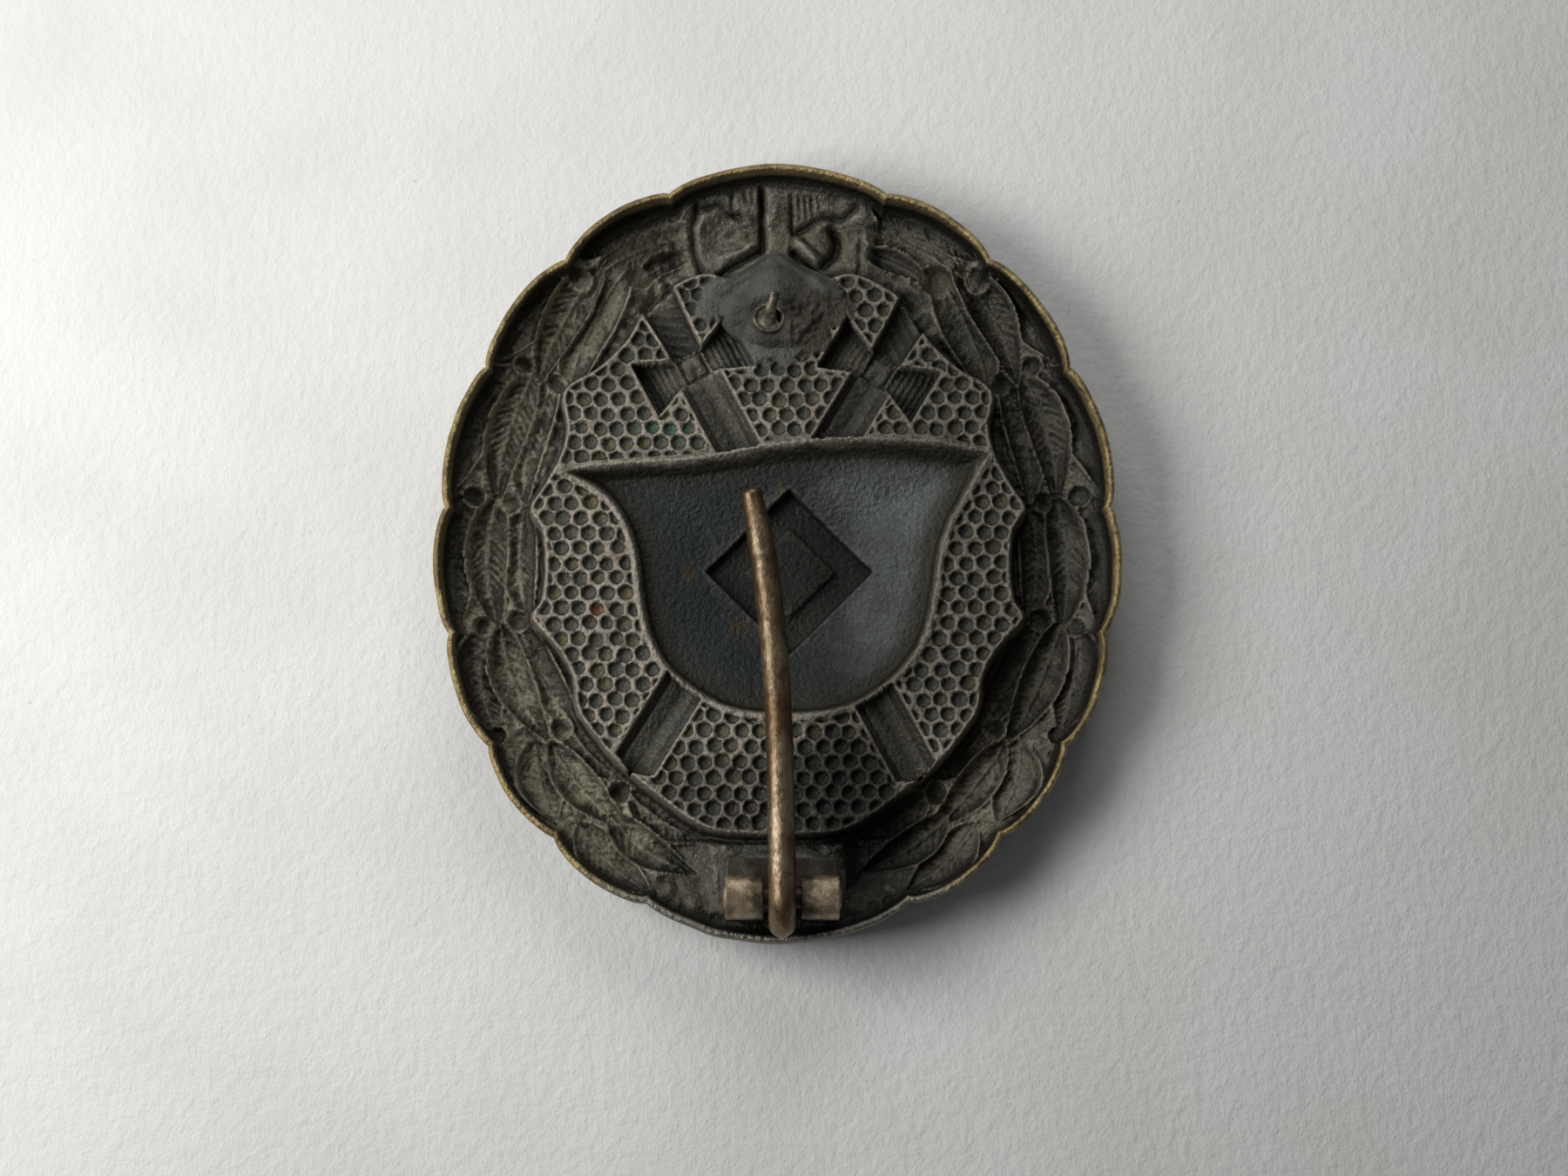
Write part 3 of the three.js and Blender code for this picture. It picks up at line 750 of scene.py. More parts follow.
# %% Tools for node trees
class Tree:
    def __init__(self, tree):
        self.tree = tree

    def fill(self, socket, value):
        if isinstance(value, bpy.types.NodeSocket):
            self.tree.links.new(value, socket)
        else:
            socket.default_value = value

    def node(self, kind, output, inputs=None, **given):
        """A new node. Lower-case names are its settings, the others are its sockets."""
        made = self.tree.nodes.new(kind)
        for name, value in given.items():
            if name.islower():
                setattr(made, name, value)
        for name, value in given.items():
            if not name.islower():
                self.fill(made.inputs[name.replace("_", " ")], value)
        for name, value in (inputs or {}).items():
            self.fill(made.inputs[name], value)
        return made.outputs[output]

    def math(self, operation, a, b=0.5):
        return self.node("ShaderNodeMath", "Value", {0: a, 1: b}, operation=operation)

    def add(self, a, b):
        return self.math("ADD", a, b)

    def times(self, *factors):
        product = factors[0]
        for factor in factors[1:]:
            product = self.math("MULTIPLY", product, factor)
        return product

    def most(self, *values):
        largest = values[0]
        for value in values[1:]:
            largest = self.math("MAXIMUM", largest, value)
        return largest

    def axis(self, vector, number):
        return self.node("ShaderNodeSeparateXYZ", number, {0: vector})


print("node tools ready")

# %% [markdown]
# The pebbled ground repeats one small form hundreds of times, so Geometry Nodes make it. The first
# half of the tree lays out points in a honeycomb, as many as fit, and pushes each a little out of
# place. The sizes are inputs of the tree, and the seed is fixed.

# %% Geometry Nodes: where the punch strikes
def empty_pebble_tree():
    """A tree with named inputs and no nodes but its inputs' own."""
    made = bpy.data.node_groups.new("pebbled ground", "GeometryNodeTree")
    for name, kind in [("Geometry", "Geometry"), ("Width", "Float"), ("Length", "Float"),
                       ("Pitch", "Float"), ("Jitter", "Float"), ("Pit Radius", "Float"),
                       ("Pit Depth", "Float"), ("Seed", "Int"), ("Material", "Material")]:
        made.interface.new_socket(name, in_out="INPUT", socket_type="NodeSocket" + kind)
    made.interface.new_socket("Geometry", in_out="OUTPUT", socket_type="NodeSocketGeometry")
    return Tree(made), made.nodes.new("NodeGroupInput").outputs


def punch_points(tree, sizes):
    row_pitch = tree.times(sizes["Pitch"], math.sqrt(3) / 2)
    columns = tree.math("DIVIDE", sizes["Width"], sizes["Pitch"])
    rows = tree.math("DIVIDE", sizes["Length"], row_pitch)
    grid = tree.node("GeometryNodeMeshGrid", "Mesh", Size_X=sizes["Width"], Size_Y=sizes["Length"],
                     Vertices_X=tree.add(columns, 1), Vertices_Y=tree.add(rows, 1))
    here = tree.node("GeometryNodeInputPosition", 0)
    row = tree.math("ROUND", tree.math("DIVIDE", tree.axis(here, 1), row_pitch))
    odd = tree.math("FLOORED_MODULO", row, 2)
    stagger = tree.times(odd, tree.times(sizes["Pitch"], 0.5))
    low = tree.times(sizes["Jitter"], -1.0)
    sideways, forwards = (tree.node("FunctionNodeRandomValue", "Value", data_type="FLOAT", Min=low,
                                    Max=sizes["Jitter"], Seed=tree.add(sizes["Seed"], offset))
                          for offset in (0, 1))
    shift = tree.node("ShaderNodeCombineXYZ", 0, {0: tree.add(stagger, sideways), 1: forwards})
    return tree.node("GeometryNodeSetPosition", 0, Geometry=grid, Offset=shift)


print("honeycomb of punch points described")

# %% [markdown]
# The second half finds the nearest punch point for every point of the sheet and lowers the point if
# it lies inside that punch's radius. That is how a round punch works on the real die. The zone named
# "ground" keeps the pits off everything else, and "pit" is stored for the paint.

# %% Geometry Nodes: press the pits
def pit_depth(tree, sizes, punches):
    """Share of a pit at each point, from 0 to 1, and how far the point goes down."""
    here = tree.node("GeometryNodeInputPosition", 0)
    flat = tree.node("ShaderNodeCombineXYZ", 0, {0: tree.axis(here, 0), 1: tree.axis(here, 1)})
    nearest = tree.node("GeometryNodeSampleNearest", "Index", domain="POINT", Geometry=punches,
                        Sample_Position=flat)
    centre = tree.node("GeometryNodeSampleIndex", "Value", data_type="FLOAT_VECTOR",
                       Geometry=punches, Value=here, Index=nearest)
    apart = tree.node("ShaderNodeVectorMath", "Value", {0: flat, 1: centre}, operation="DISTANCE")
    size = tree.node("FunctionNodeRandomValue", "Value", data_type="FLOAT", Min=0.91, Max=1.08,
                     ID=nearest)
    radius = tree.times(sizes["Pit Radius"], size)
    dent = tree.node("ShaderNodeMapRange", "Result", interpolation_type="SMOOTHSTEP", Value=apart,
                     From_Min=tree.times(radius, 1.04), From_Max=tree.times(radius, 0.82))
    ground = tree.node("GeometryNodeInputNamedAttribute", "Attribute", data_type="FLOAT",
                       Name="ground")
    share = tree.math("DIVIDE", apart, radius)
    bowl = tree.math("SUBTRACT", 1.2, tree.times(share, share, 0.35))
    bowl = tree.math("MINIMUM", tree.most(bowl, 0.8), 1.2)
    pit = tree.times(dent, ground)
    return pit, tree.times(pit, bowl, sizes["Pit Depth"])


def pebble_tree():
    tree, sizes = empty_pebble_tree()
    pit, depth = pit_depth(tree, sizes, punch_points(tree, sizes))
    kept = tree.node("GeometryNodeStoreNamedAttribute", 0, data_type="FLOAT", domain="POINT",
                     Geometry=sizes["Geometry"], Name="pit", Value=pit)
    drop = tree.node("ShaderNodeCombineXYZ", 0, {2: tree.times(depth, -1.0)})
    pressed = tree.node("GeometryNodeSetPosition", 0, Geometry=kept, Offset=drop)
    real = tree.node("GeometryNodeRealizeInstances", 0, {0: pressed})
    painted = tree.node("GeometryNodeSetMaterial", 0, Geometry=real, Material=sizes["Material"])
    tree.fill(tree.tree.nodes.new("NodeGroupOutput").inputs[0], painted)
    return tree.tree


def evaluated(piece):
    """The piece's mesh with its modifiers applied. The modifiers are removed."""
    depsgraph = bpy.context.evaluated_depsgraph_get()
    mesh = bpy.data.meshes.new_from_object(piece.evaluated_get(depsgraph))
    piece.modifiers.clear()
    mesh.shade_smooth()
    return mesh


def run_tree(piece, tree, sizes):
    """Puts a tree on a piece, sets its inputs by name, and returns the result as a plain mesh."""
    modifier = piece.modifiers.new(tree.name, "NODES")
    modifier.node_group = tree
    for item in tree.interface.items_tree:
        if item.in_out == "INPUT" and item.name in sizes:
            modifier[item.identifier] = sizes[item.name]
    return evaluated(piece)


patina = bpy.data.materials.new("dark struck patina")
PEBBLES = {
    "Width": 30 * MM, "Length": 36 * MM, "Pitch": 0.98 * MM, "Jitter": 0.09 * MM,
    "Pit Radius": 0.425 * MM, "Pit Depth": 0.26 * MM, "Seed": 4, "Material": patina,
}
sheet.data = run_tree(sheet, pebble_tree(), PEBBLES)
print("pitch", PEBBLES["Pitch"], "m, attributes:", [a.name for a in sheet.data.attributes])

# %% [markdown]
# Wear and dirt follow the form: high spots are rubbed pale and hollows stay dark. Both are measured
# by comparing each height with the average height around it, and stored as attributes for the paint.
# After that the mesh is thinned where it is flat, which keeps the file a sensible size.

# %% Measure wear and hollows, then thin the mesh
SHEET_TRIANGLES = 196000


def measure_wear(mesh, shape):
    points = read_points(mesh)
    count = shape[0] * shape[1]
    height = points[:count, 2].reshape(shape)
    wear, hollow = np.zeros(len(points)), np.zeros(len(points))
    fine = height - blurred(height, 0.28 / FINE)
    broad = height - blurred(height, 0.8 / FINE)
    wear[:count] = (ramp(fine, 0.015, 0.13) * ramp(broad, -0.15, 0.1)).ravel()
    hollow[:count] = (ramp(-fine, 0.02, 0.16) * 0.6 + ramp(-broad, 0.05, 0.45) * 0.6).ravel()
    wear[count:] = ramp(points[count:, 2], 0.5, 0.05) * 0.5
    wear *= ramp(points[:, 2], 0.9, 2.4) * 0.7 + 0.3
    write_attribute(mesh, "wear", wear)
    pit = np.empty(len(points), np.float32)
    mesh.attributes["pit"].data.foreach_get("value", pit)
    write_attribute(mesh, "hollow", np.clip(hollow, 0, 1) * (1 - 0.75 * pit))


def thinned(piece, triangles):
    """The piece's mesh with no more than the given number of triangles."""
    have = sum(len(face.vertices) - 2 for face in piece.data.polygons)
    modifier = piece.modifiers.new("thin", "DECIMATE")
    modifier.ratio = min(1.0, triangles / have)
    return evaluated(piece)


measure_wear(sheet.data, back_shape)
sheet.data = thinned(sheet, SHEET_TRIANGLES)
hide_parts("badge_shell")
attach(sheet, "badge_body")
print("sheet now has", len(sheet.data.polygons), "triangles")

# %% [markdown]
# The hinge is one strip of sheet: a plate soldered down flat, and two tabs folded up and rolled over
# the axle. It is built as the middle surface of that strip, square by square, and a modifier gives it
# its thickness. A second modifier breaks the sharp edges, and a little noise dents the whole piece.

# %% Folded hinge strip
PLATE_MIDDLE, STRIP = 2.76, 0.42
PLATE_STEPS = 16
HINGE_X = HINGE_LINE[0]
PLATE_FRONT, PLATE_BACK, TAB_BACK = -17.3, -20.3, -20.57
TAB_INNER, PLATE_SIDE = 1.0, 3.05


def finish_piece(piece, body, node):
    """Applies the modifiers and ties the piece to the mechanical model."""
    piece.data = evaluated(piece)
    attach(piece, body)
    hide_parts(node)
    print(piece.name, len(piece.data.polygons), "faces")


def squared(share):
    """Turns a circle's sine or cosine into that of a rounder square."""
    return 0.95 * math.copysign(abs(share) ** 0.72, share)


def strip_path():
    """Middle line of the strip in the YZ plane: along the plate, up, and over the axle."""
    axis_y, axis_z = HINGE_LINE[1:]
    line = [(y, PLATE_MIDDLE) for y in np.linspace(PLATE_FRONT, PLATE_BACK, PLATE_STEPS)]
    line += [(-20.5, PLATE_MIDDLE + 0.07), (TAB_BACK, PLATE_MIDDLE + 0.25)]
    line += [(TAB_BACK, z) for z in np.linspace(3.3, axis_z, 9)]
    for angle in np.radians(np.linspace(170, -62, 30)):
        line.append((axis_y + squared(math.cos(angle)), axis_z + squared(math.sin(angle))))
    return np.array(line)


def folded_strip():
    """The strip's middle surface. Past the plate only the two tabs go on."""
    path = strip_path()
    sides = np.concatenate([np.linspace(-PLATE_SIDE, -TAB_INNER, 12),
                            np.linspace(-TAB_INNER, TAB_INNER, 10)[1:-1],
                            np.linspace(TAB_INNER, PLATE_SIDE, 12)])
    vertices, faces = [], []
    for k, (y, z) in enumerate(path):
        for side in sides:
            lean = 0.03 * np.sign(side) * ramp(k, 25.0, 50.0)
            vertices.append((HINGE_X + side + lean, y, z))
    row = len(sides)
    for k in range(len(path) - 1):
        for i in range(row - 1):
            middle = abs(sides[i] + sides[i + 1]) / 2 < TAB_INNER - 0.02
            if k < PLATE_STEPS - 1 or not middle:
                a = k * row + i
                faces.append((a, a + row, a + row + 1, a + 1))
    return vertices, faces


def dented(piece, depth, pitch, seed):
    """Pushes the points of a piece about by a little smooth noise."""
    points = read_points(piece.data)
    for k in range(3):
        a, b = points[:, (k + 1) % 3], points[:, (k + 2) % 3]
        points[:, k] += depth * grain(a + 0.7 * b, b - 0.4 * a, pitch, seed + k)
    piece.data.vertices.foreach_set("co", (points * MM).astype(np.float32).ravel())
    piece.data.update()


bracket = new_piece("hinge_strip", *folded_strip())
solid = bracket.modifiers.new("thickness", "SOLIDIFY")
solid.thickness = STRIP * MM
solid.offset = 0
edge = bracket.modifiers.new("broken edges", "BEVEL")
edge.width = 0.07 * MM
edge.segments = 3
edge.angle_limit = math.radians(40)
finish_piece(bracket, "badge_body", "hinge_bracket")
dented(bracket, 0.025, 0.5, 51)

# %% [markdown]
# Round pieces are all sweeps: a circle carried along a line, with a radius for each point of the
# line. The axle is a short straight sweep with slightly riveted ends. The needle is a long one: it
# starts at its blunt cut tip, thickens within a few millimetres, and ends in one turn round the axle.

# %% Axle and needle
NEEDLE_TIP = (-1.5, 2.8, 4.9)
WIRE_RADIUS = 0.74
WRAP = 1.405
ROUNDED_END = ((0.0, 1.0), (0.55, 0.93), (0.88, 0.78), (1.0, 0.55))


def sweep(name, path, radii, sides=28):
    """A closed tube along a path that never runs parallel to X for long."""
    path, radii = np.asarray(path, float), np.asarray(radii, float)
    along = np.gradient(path, axis=0)
    along /= np.linalg.norm(along, axis=1)[:, None]
    start = np.array([0.0, 1.0, 0.0]) if abs(along[0][0]) > 0.9 else np.array([1.0, 0.0, 0.0])
    vertices, faces = [], []
    for point, direction, radius in zip(path, along, radii):
        across = start - direction * np.dot(start, direction)
        across /= np.linalg.norm(across)
        up = np.cross(direction, across)
        for turn in np.arange(sides) * 2 * math.pi / sides:
            vertices.append(point + radius * (math.cos(turn) * across + math.sin(turn) * up))
    for k in range(len(path) - 1):
        for i in range(sides):
            a, b = k * sides + i, k * sides + (i + 1) % sides
            faces.append((a, b, b + sides, a + sides))
    faces.append(tuple(range(sides))[::-1])
    faces.append(tuple(range((len(path) - 1) * sides, len(path) * sides)))
    return new_piece(name, vertices, faces)


def needle_line():
    """Centre line of the wire and its radius, from the tip to the end of the turn."""
    axis_y, axis_z = HINGE_LINE[1:]
    tip_x, tip_y, tip_z = NEEDLE_TIP
    points, radii = [], []
    for along in np.linspace(1.0, 0.0, 150):
        side = (tip_x - HINGE_X) * along ** 3 - 0.3 * along * (1 - along)
        drop = (tip_z - axis_z - WRAP) * float(ramp(along, 0.0, 1.0))
        y = axis_y + (tip_y - axis_y) * along
        points.append((HINGE_X + side, y, axis_z + WRAP + drop))
        radii.append(WIRE_RADIUS - 0.15 * float(ramp(y, tip_y - 3.2, tip_y)))
    for angle in np.radians(np.linspace(93, 285, 50)):
        points.append((HINGE_X, axis_y + WRAP * math.cos(angle), axis_z + WRAP * math.sin(angle)))
        radii.append(WIRE_RADIUS)
    return np.array(points), np.array(radii)


def blunt(path, radii, width):
    """Adds rounded ends to a sweep, width mm long."""
    middle, ends = list(zip(path, radii)), []
    for end, beside in ((0, 1), (-1, -2)):
        way = path[end] - path[beside]
        way = way / np.linalg.norm(way)
        ends.append([(path[end] + way * (s - 1) * width, radii[end] * c) for s, c in ROUNDED_END])
        middle = [(p, r) for p, r in middle
                  if np.dot(p - path[end], way) < -width
                  or np.linalg.norm(p - path[end]) > 2 * width]
    joined = ends[0][::-1] + middle + ends[1]
    return np.array([p for p, _ in joined]), np.array([r for _, r in joined])


axle_path = [(HINGE_X + s, *HINGE_LINE[1:]) for s in np.linspace(-3.2, 3.2, 40)]
axle = sweep("hinge_rod", *blunt(np.array(axle_path), np.full(40, 0.6), 0.12))
finish_piece(axle, "badge_body", "hinge_axle")
needle = sweep("pin_wire", *blunt(*needle_line(), 0.2), sides=36)
finish_piece(needle, "needle", "needle_pin")
dented(needle, 0.012, 0.8, 61)

# %% [markdown]
# Solder lies in low mounds. Each is a closed polar mesh: rings from the middle to an uneven outline, a
# height rule on top and a flat underside. The first is the solder that ran out round the hinge.

# %% Solder under the hinge
def mound(name, centre, outline, height, base, rings=40, spokes=120):
    """A closed mound. outline(turn) gives its reach in mm, height(x, y, share) its top."""
    turn = np.arange(spokes) * 2 * math.pi / spokes
    reach = outline(turn)
    vertices = [(*centre, float(height(np.array([centre[0]]), np.array([centre[1]]), 0.0)[0]))]
    for ring in range(1, rings + 1):
        share = ring / rings
        x = centre[0] + reach * share * np.cos(turn)
        y = centre[1] + reach * share * np.sin(turn)
        z = height(x, y, share)
        vertices += list(zip(x, y, np.maximum(z, base + 0.02)))
    top = len(vertices)
    vertices += [(x, y, base) for x, y, _ in vertices[top - spokes:top]]
    faces = [(0, 1 + i, 1 + (i + 1) % spokes) for i in range(spokes)]
    for ring in range(rings):
        first = 1 + ring * spokes
        for i in range(spokes):
            j = (i + 1) % spokes
            faces.append((first + i, first + spokes + i, first + spokes + j, first + j))
    faces.append(tuple(range(top, top + spokes))[::-1])
    return new_piece(name, vertices, faces)


def pad_outline(turn):
    x, y = np.cos(turn), np.sin(turn)
    box = 1 / np.maximum(abs(x) / 3.45, abs(y) / 1.95)
    oval = 1 / np.hypot(x / 3.75, y / 2.1)
    return np.minimum(box, oval) * (1 + 0.05 * grain(9 * x, 9 * y, 2.2, 71))


def pad_height(x, y, share):
    rough = 0.07 * grain(x, y, 0.45, 72) + 0.05 * grain(x, y, 1.2, 73)
    return 2.49 + rough * ramp(share, 0.75, 0.9) - 0.62 * ramp(share, 0.8, 1.0)


pad = mound("hinge_solder_run", (HINGE_X, -18.75), pad_outline, pad_height, 1.75)
finish_piece(pad, "badge_body", "hinge_solder")

# %% [markdown]
# The catch was soldered on at the bow's knot. The knot shows as a hill that comes to a point at the
# bow, with a crest, two folds beside it, crusted solder and a level seat for the catch.

# %% Solder on the knot
KNOT = [
    (-0.2, 17.25), (1.1, 16.6), (2.4, 15.9), (3.7, 15.2), (3.5, 13.9), (2.9, 12.6), (2.1, 11.6),
    (0.9, 11.1), (-0.7, 11.4), (-2.0, 11.9), (-3.1, 12.8), (-3.6, 14.0), (-3.3, 15.0), (-1.7, 16.3),
]
knot_edge = rounded(KNOT, 8)
KNOT_MIDDLE = (-0.15, 13.6)


def knot_outline(turn):
    around = np.arctan2(knot_edge[:, 1] - KNOT_MIDDLE[1], knot_edge[:, 0] - KNOT_MIDDLE[0])
    far = np.hypot(knot_edge[:, 0] - KNOT_MIDDLE[0], knot_edge[:, 1] - KNOT_MIDDLE[1])
    order = np.argsort(around)
    return np.interp(turn, around[order], far[order], period=2 * math.pi)


def knot_height(x, y, share):
    edge = 2.6 - 0.45 * ramp(y, 15.6, 17.2)
    crest = 0.55 * heap(x, y, (-0.1, 15.3), (1.5, 1.3))
    dome = edge + crest + (3.4 - edge) * (1 - np.clip(share, 0, 1) ** 1.5)
    fold = 0.2 * hump(abs(x + 0.1), (17.0 - y) * 1.35, 0.45) * ramp(y, 13.6, 14.6)
    crust = ramp(np.hypot(x - 1.5, y - 12.9), 1.9, 0.8)
    crack = 0.2 * crust * grain(x, y, 0.24, 81) * ramp(share, 1.0, 0.8)
    rough = 0.07 * grain(x, y, 0.4, 82) + 0.12 * grain(x, y, 1.3, 83)
    seat = np.hypot(x + 0.5, y - 13.0)
    level = dome + fold + crack + rough
    return level + (3.1 - level) * ramp(seat, 1.5, 0.8)


knot = mound("catch_solder_knot", KNOT_MIDDLE, knot_outline, knot_height, 1.45, rings=46)
finish_piece(knot, "badge_body", "catch_solder")


# %% [markdown]
# What is left of the catch is a small washer with a raised lip and the leaning stub of the hook.

# %% Remains of the catch
STUB_BENDS = np.array([(-0.45, 13.1, 3.25), (-0.44, 13.25, 3.6), (-0.4, 13.5, 3.9),
                       (-0.33, 13.8, 4.15), (-0.24, 14.1, 4.35), (-0.18, 14.3, 4.5)])
STUB_STEPS = 24


def washer_outline(turn):
    return 0.95 + 0.04 * grain(3 * np.cos(turn), 3 * np.sin(turn), 0.9, 84)


def washer_height(x, y, share):
    lip = 0.16 * hump(share, 0.84, 0.09)
    slope = 0.16 * (x + 0.5) + 0.13 * (y - 13.0)
    return 3.17 + lip - slope - 0.2 * ramp(share, 0.93, 1.0) + 0.03 * grain(x, y, 0.3, 85)


washer = mound("catch_washer", (-0.5, 13.1), washer_outline, washer_height, 3.08, 20, 72)
finish_piece(washer, "badge_body", "catch_plate")

bends = np.linspace(0, len(STUB_BENDS) - 1, STUB_STEPS)
stub_path = np.stack([np.interp(bends, range(len(STUB_BENDS)), way) for way in STUB_BENDS.T], 1)
stub_radii = np.linspace(0.36, 0.22, STUB_STEPS)
stub = sweep("catch_hook_stub", *blunt(stub_path, stub_radii, 0.06), sides=24)
finish_piece(stub, "badge_body", "catch_stub")
dented(stub, 0.07, 0.3, 86)

# %% [markdown]
# The paint of every piece is a node tree on the object's own coordinates, counted in millimetres.
# `Paint` adds noise, soft steps, round spots and mixing to the tree class. Colours are three numbers
# from 0 to 255, as they would be picked on a screen.

# %% Tools for painting
def from_srgb(red, green, blue):
    """A given colour in the linear light that shaders use."""
    share = np.array([red, green, blue]) / 255
    linear = np.where(share < 0.04045, share / 12.92, ((share + 0.055) / 1.055) ** 2.4)
    return (*map(float, linear), 1.0)


class Paint(Tree):
    def __init__(self, material):
        material.use_nodes = True
        super().__init__(material.node_tree)
        self.shader = self.tree.nodes["Principled BSDF"]
        self.place = self.node("ShaderNodeVectorMath", "Vector", operation="SCALE",
                               Vector=self.node("ShaderNodeTexCoord", "Object"), Scale=1 / MM)

    def noise(self, pitch, detail=3.0, rough=0.55, shift=0.0, stretch=(1, 1, 1)):
        """Noise from 0 to 1 whose lumps are about one pitch in mm."""
        moved = self.node("ShaderNodeMapping", "Vector", Vector=self.place,
                          Location=(shift, 2 * shift, 3 * shift), Scale=stretch)
        return self.node("ShaderNodeTexNoise", "Fac", Vector=moved, Scale=1 / pitch,
                         Detail=detail, Roughness=rough)

    def step(self, value, low, high, start=0.0, end=1.0):
        return self.node("ShaderNodeMapRange", "Result", interpolation_type="SMOOTHSTEP",
                         inputs={0: value, 1: low, 2: high, 3: start, 4: end})

    def mask(self, name):
        return self.node("ShaderNodeAttribute", "Fac", attribute_name=name)

    def spot(self, x, y, radius, soft=0.3):
        """1 within a radius of a point of the plan, 0 outside."""
        flat = self.node("ShaderNodeVectorMath", "Vector", operation="MULTIPLY",
                         inputs={0: self.place, 1: (1, 1, 0)})
        apart = self.node("ShaderNodeVectorMath", "Value", operation="DISTANCE",
                          inputs={0: flat, 1: (x, y, 0)})
        return self.step(apart, radius + soft, radius)

    def mix(self, share, under, over):
        """One colour over another."""
        ready = [colour if isinstance(colour, bpy.types.NodeSocket) else from_srgb(*colour)
                 for colour in (under, over)]
        return self.node("ShaderNodeMix", 2, {0: share, 6: ready[0], 7: ready[1]}, data_type="RGBA")

    def finish(self, colour, roughness, metallic, bump, depth):
        """Connects the finished colour and surface. The bump's depth is in mm."""
        normal = self.node("ShaderNodeBump", "Normal", Height=bump, Distance=depth * MM,
                           Strength=1.0)
        for name, value in (("Base Color", colour), ("Roughness", roughness),
                            ("Metallic", metallic), ("Normal", normal)):
            self.fill(self.shader.inputs[name], value)


print("a middle grey of 128 is", round(from_srgb(128, 128, 128)[0], 3), "in linear light")

# %% [markdown]
# The sheet is patinated brass, painted in layers from the lowest up. The lowest is an olive-grey skin
# with pale glints and faint blue and brown stains. The helmet's floor is smoother and blue-grey, with
# painted shade to the left. Each pit has a lighter bottom and a ring of painted shade on its wall.

# %% Sheet paint: skin, helmet floor and pits
def mottled_skin(paint):
    skin = paint.mix(paint.step(paint.middle, 0.3, 0.7), (76, 74, 64), (94, 92, 80))
    glints = paint.noise(0.14, 2.0, shift=14.0)
    blue = paint.noise(2.4, 2.0, shift=9.0)
    brown = paint.noise(1.7, 2.0, shift=17.0)
    # noise, where it starts, where it is full, strongest share, colour
    for field, low, high, share, colour in (
            (paint.broad, 0.4, 0.65, 0.5, (84, 77, 62)),
            (paint.fine, 0.55, 0.75, 0.5, (118, 113, 99)),
            (glints, 0.59, 0.68, 0.6, (150, 148, 138)),
            (blue, 0.6, 0.75, 0.3, (66, 68, 86)),
            (brown, 0.55, 0.72, 0.45, (100, 82, 52))):
        skin = paint.mix(paint.step(field, low, high, 0.0, share), skin, colour)
    return skin


def helmet_floor(paint):
    cloud = paint.step(paint.noise(3.0, 3.0, shift=2.0), 0.4, 0.6)
    floor = paint.mix(cloud, (98, 104, 104), (120, 126, 125))
    floor = paint.mix(paint.step(paint.speck, 0.5, 0.7, 0.0, 0.6), floor, (150, 156, 154))
    # Painted shade over the left of the helmet's floor, with a ragged edge.
    ragged = paint.add(paint.x, paint.times(paint.noise(3.4, 3.0, shift=7.0), 6.0))
    floor = paint.mix(paint.step(ragged, 9.0, 4.2, 0.0, 0.93), floor, (26, 30, 31))
    floor = paint.mix(paint.mask("lozenge"), floor, (19, 19, 15))
    for x, y, radius in ((-2.2, -4.2, 0.5), (-5.0, -1.25, 0.38), (0.2, 3.6, 0.3)):
        floor = paint.mix(paint.spot(x, y, radius, 0.15), floor, (54, 49, 36))
    return floor


def paint_pits(paint, skin):
    cloud = paint.step(paint.noise(1.1, 1.0, shift=5.0), 0.5, 0.68)
    skin = paint.mix(paint.in_pit, skin, paint.mix(cloud, (80, 80, 72), (98, 92, 64)))
    pit = paint.mask("pit")
    # A ring of painted shade on each pit's wall.
    ring = paint.times(paint.step(pit, 0.03, 0.3), paint.step(pit, 0.98, 0.7))
    return paint.mix(paint.times(ring, 0.85), skin, (32, 29, 25))


print("lowest layers described")

# %% [markdown]
# Next come painted light and shade. The wreath is painted lighter at the left and low down, and has
# painted shade at the right. The hollows, the swords and the wall are dark, and the inside of the brim
# has painted shade. The catch sits in solder, and soot from the soldering, mixed with painted shade,
# lies beside the hinge.

# %% Sheet paint: painted light and shade, and dark areas
def painted_light_and_grain(paint, skin, light_falloff, light_pool_low_right):
    # Painted light on the wreath: lighter at the left, in two round pools low down, and a little
    # everywhere.
    painted_light = paint.times(paint.step(light_falloff, -4.0, -9.0), paint.step(paint.mask("pit"), 0.3, 0.0))
    painted_light = paint.most(painted_light, light_pool_low_right, paint.spot(-10.0, -13.0, 3.0, 4.0), 0.16)
    painted_light = paint.times(painted_light, paint.mask("wreath"), paint.step(paint.fine, 0.38, 0.6, 0.3, 1.0))
    skin = paint.mix(paint.times(painted_light, 0.88), skin, (162, 157, 134))
    grains = paint.step(paint.noise(0.2, 3.0, 0.6, shift=21.0), 0.44, 0.34, 0.0, 0.5)
    return paint.mix(paint.times(grains, paint.mask("wreath")), skin, (34, 32, 26))


def shaded_side(paint, light_falloff, light_pool_low_right):
    """Share of shade: the right side, and the ground at both ends."""
    ends = paint.most(paint.step(paint.y, 6.5, 11.0), paint.step(paint.y, -10.0, -12.5))
    ends = paint.times(ends, paint.step(paint.mask("ground"), 0.0, 0.5))
    shaded = paint.most(paint.step(light_falloff, 0.0, 15.0), paint.times(ends, 0.95))
    shaded = paint.times(shaded, paint.step(light_pool_low_right, 0.0, 0.6, 1.0, 0.35))
    return paint.times(shaded, paint.step(paint.mask("wreath"), 0.0, 1.0, 1.0, 0.72))


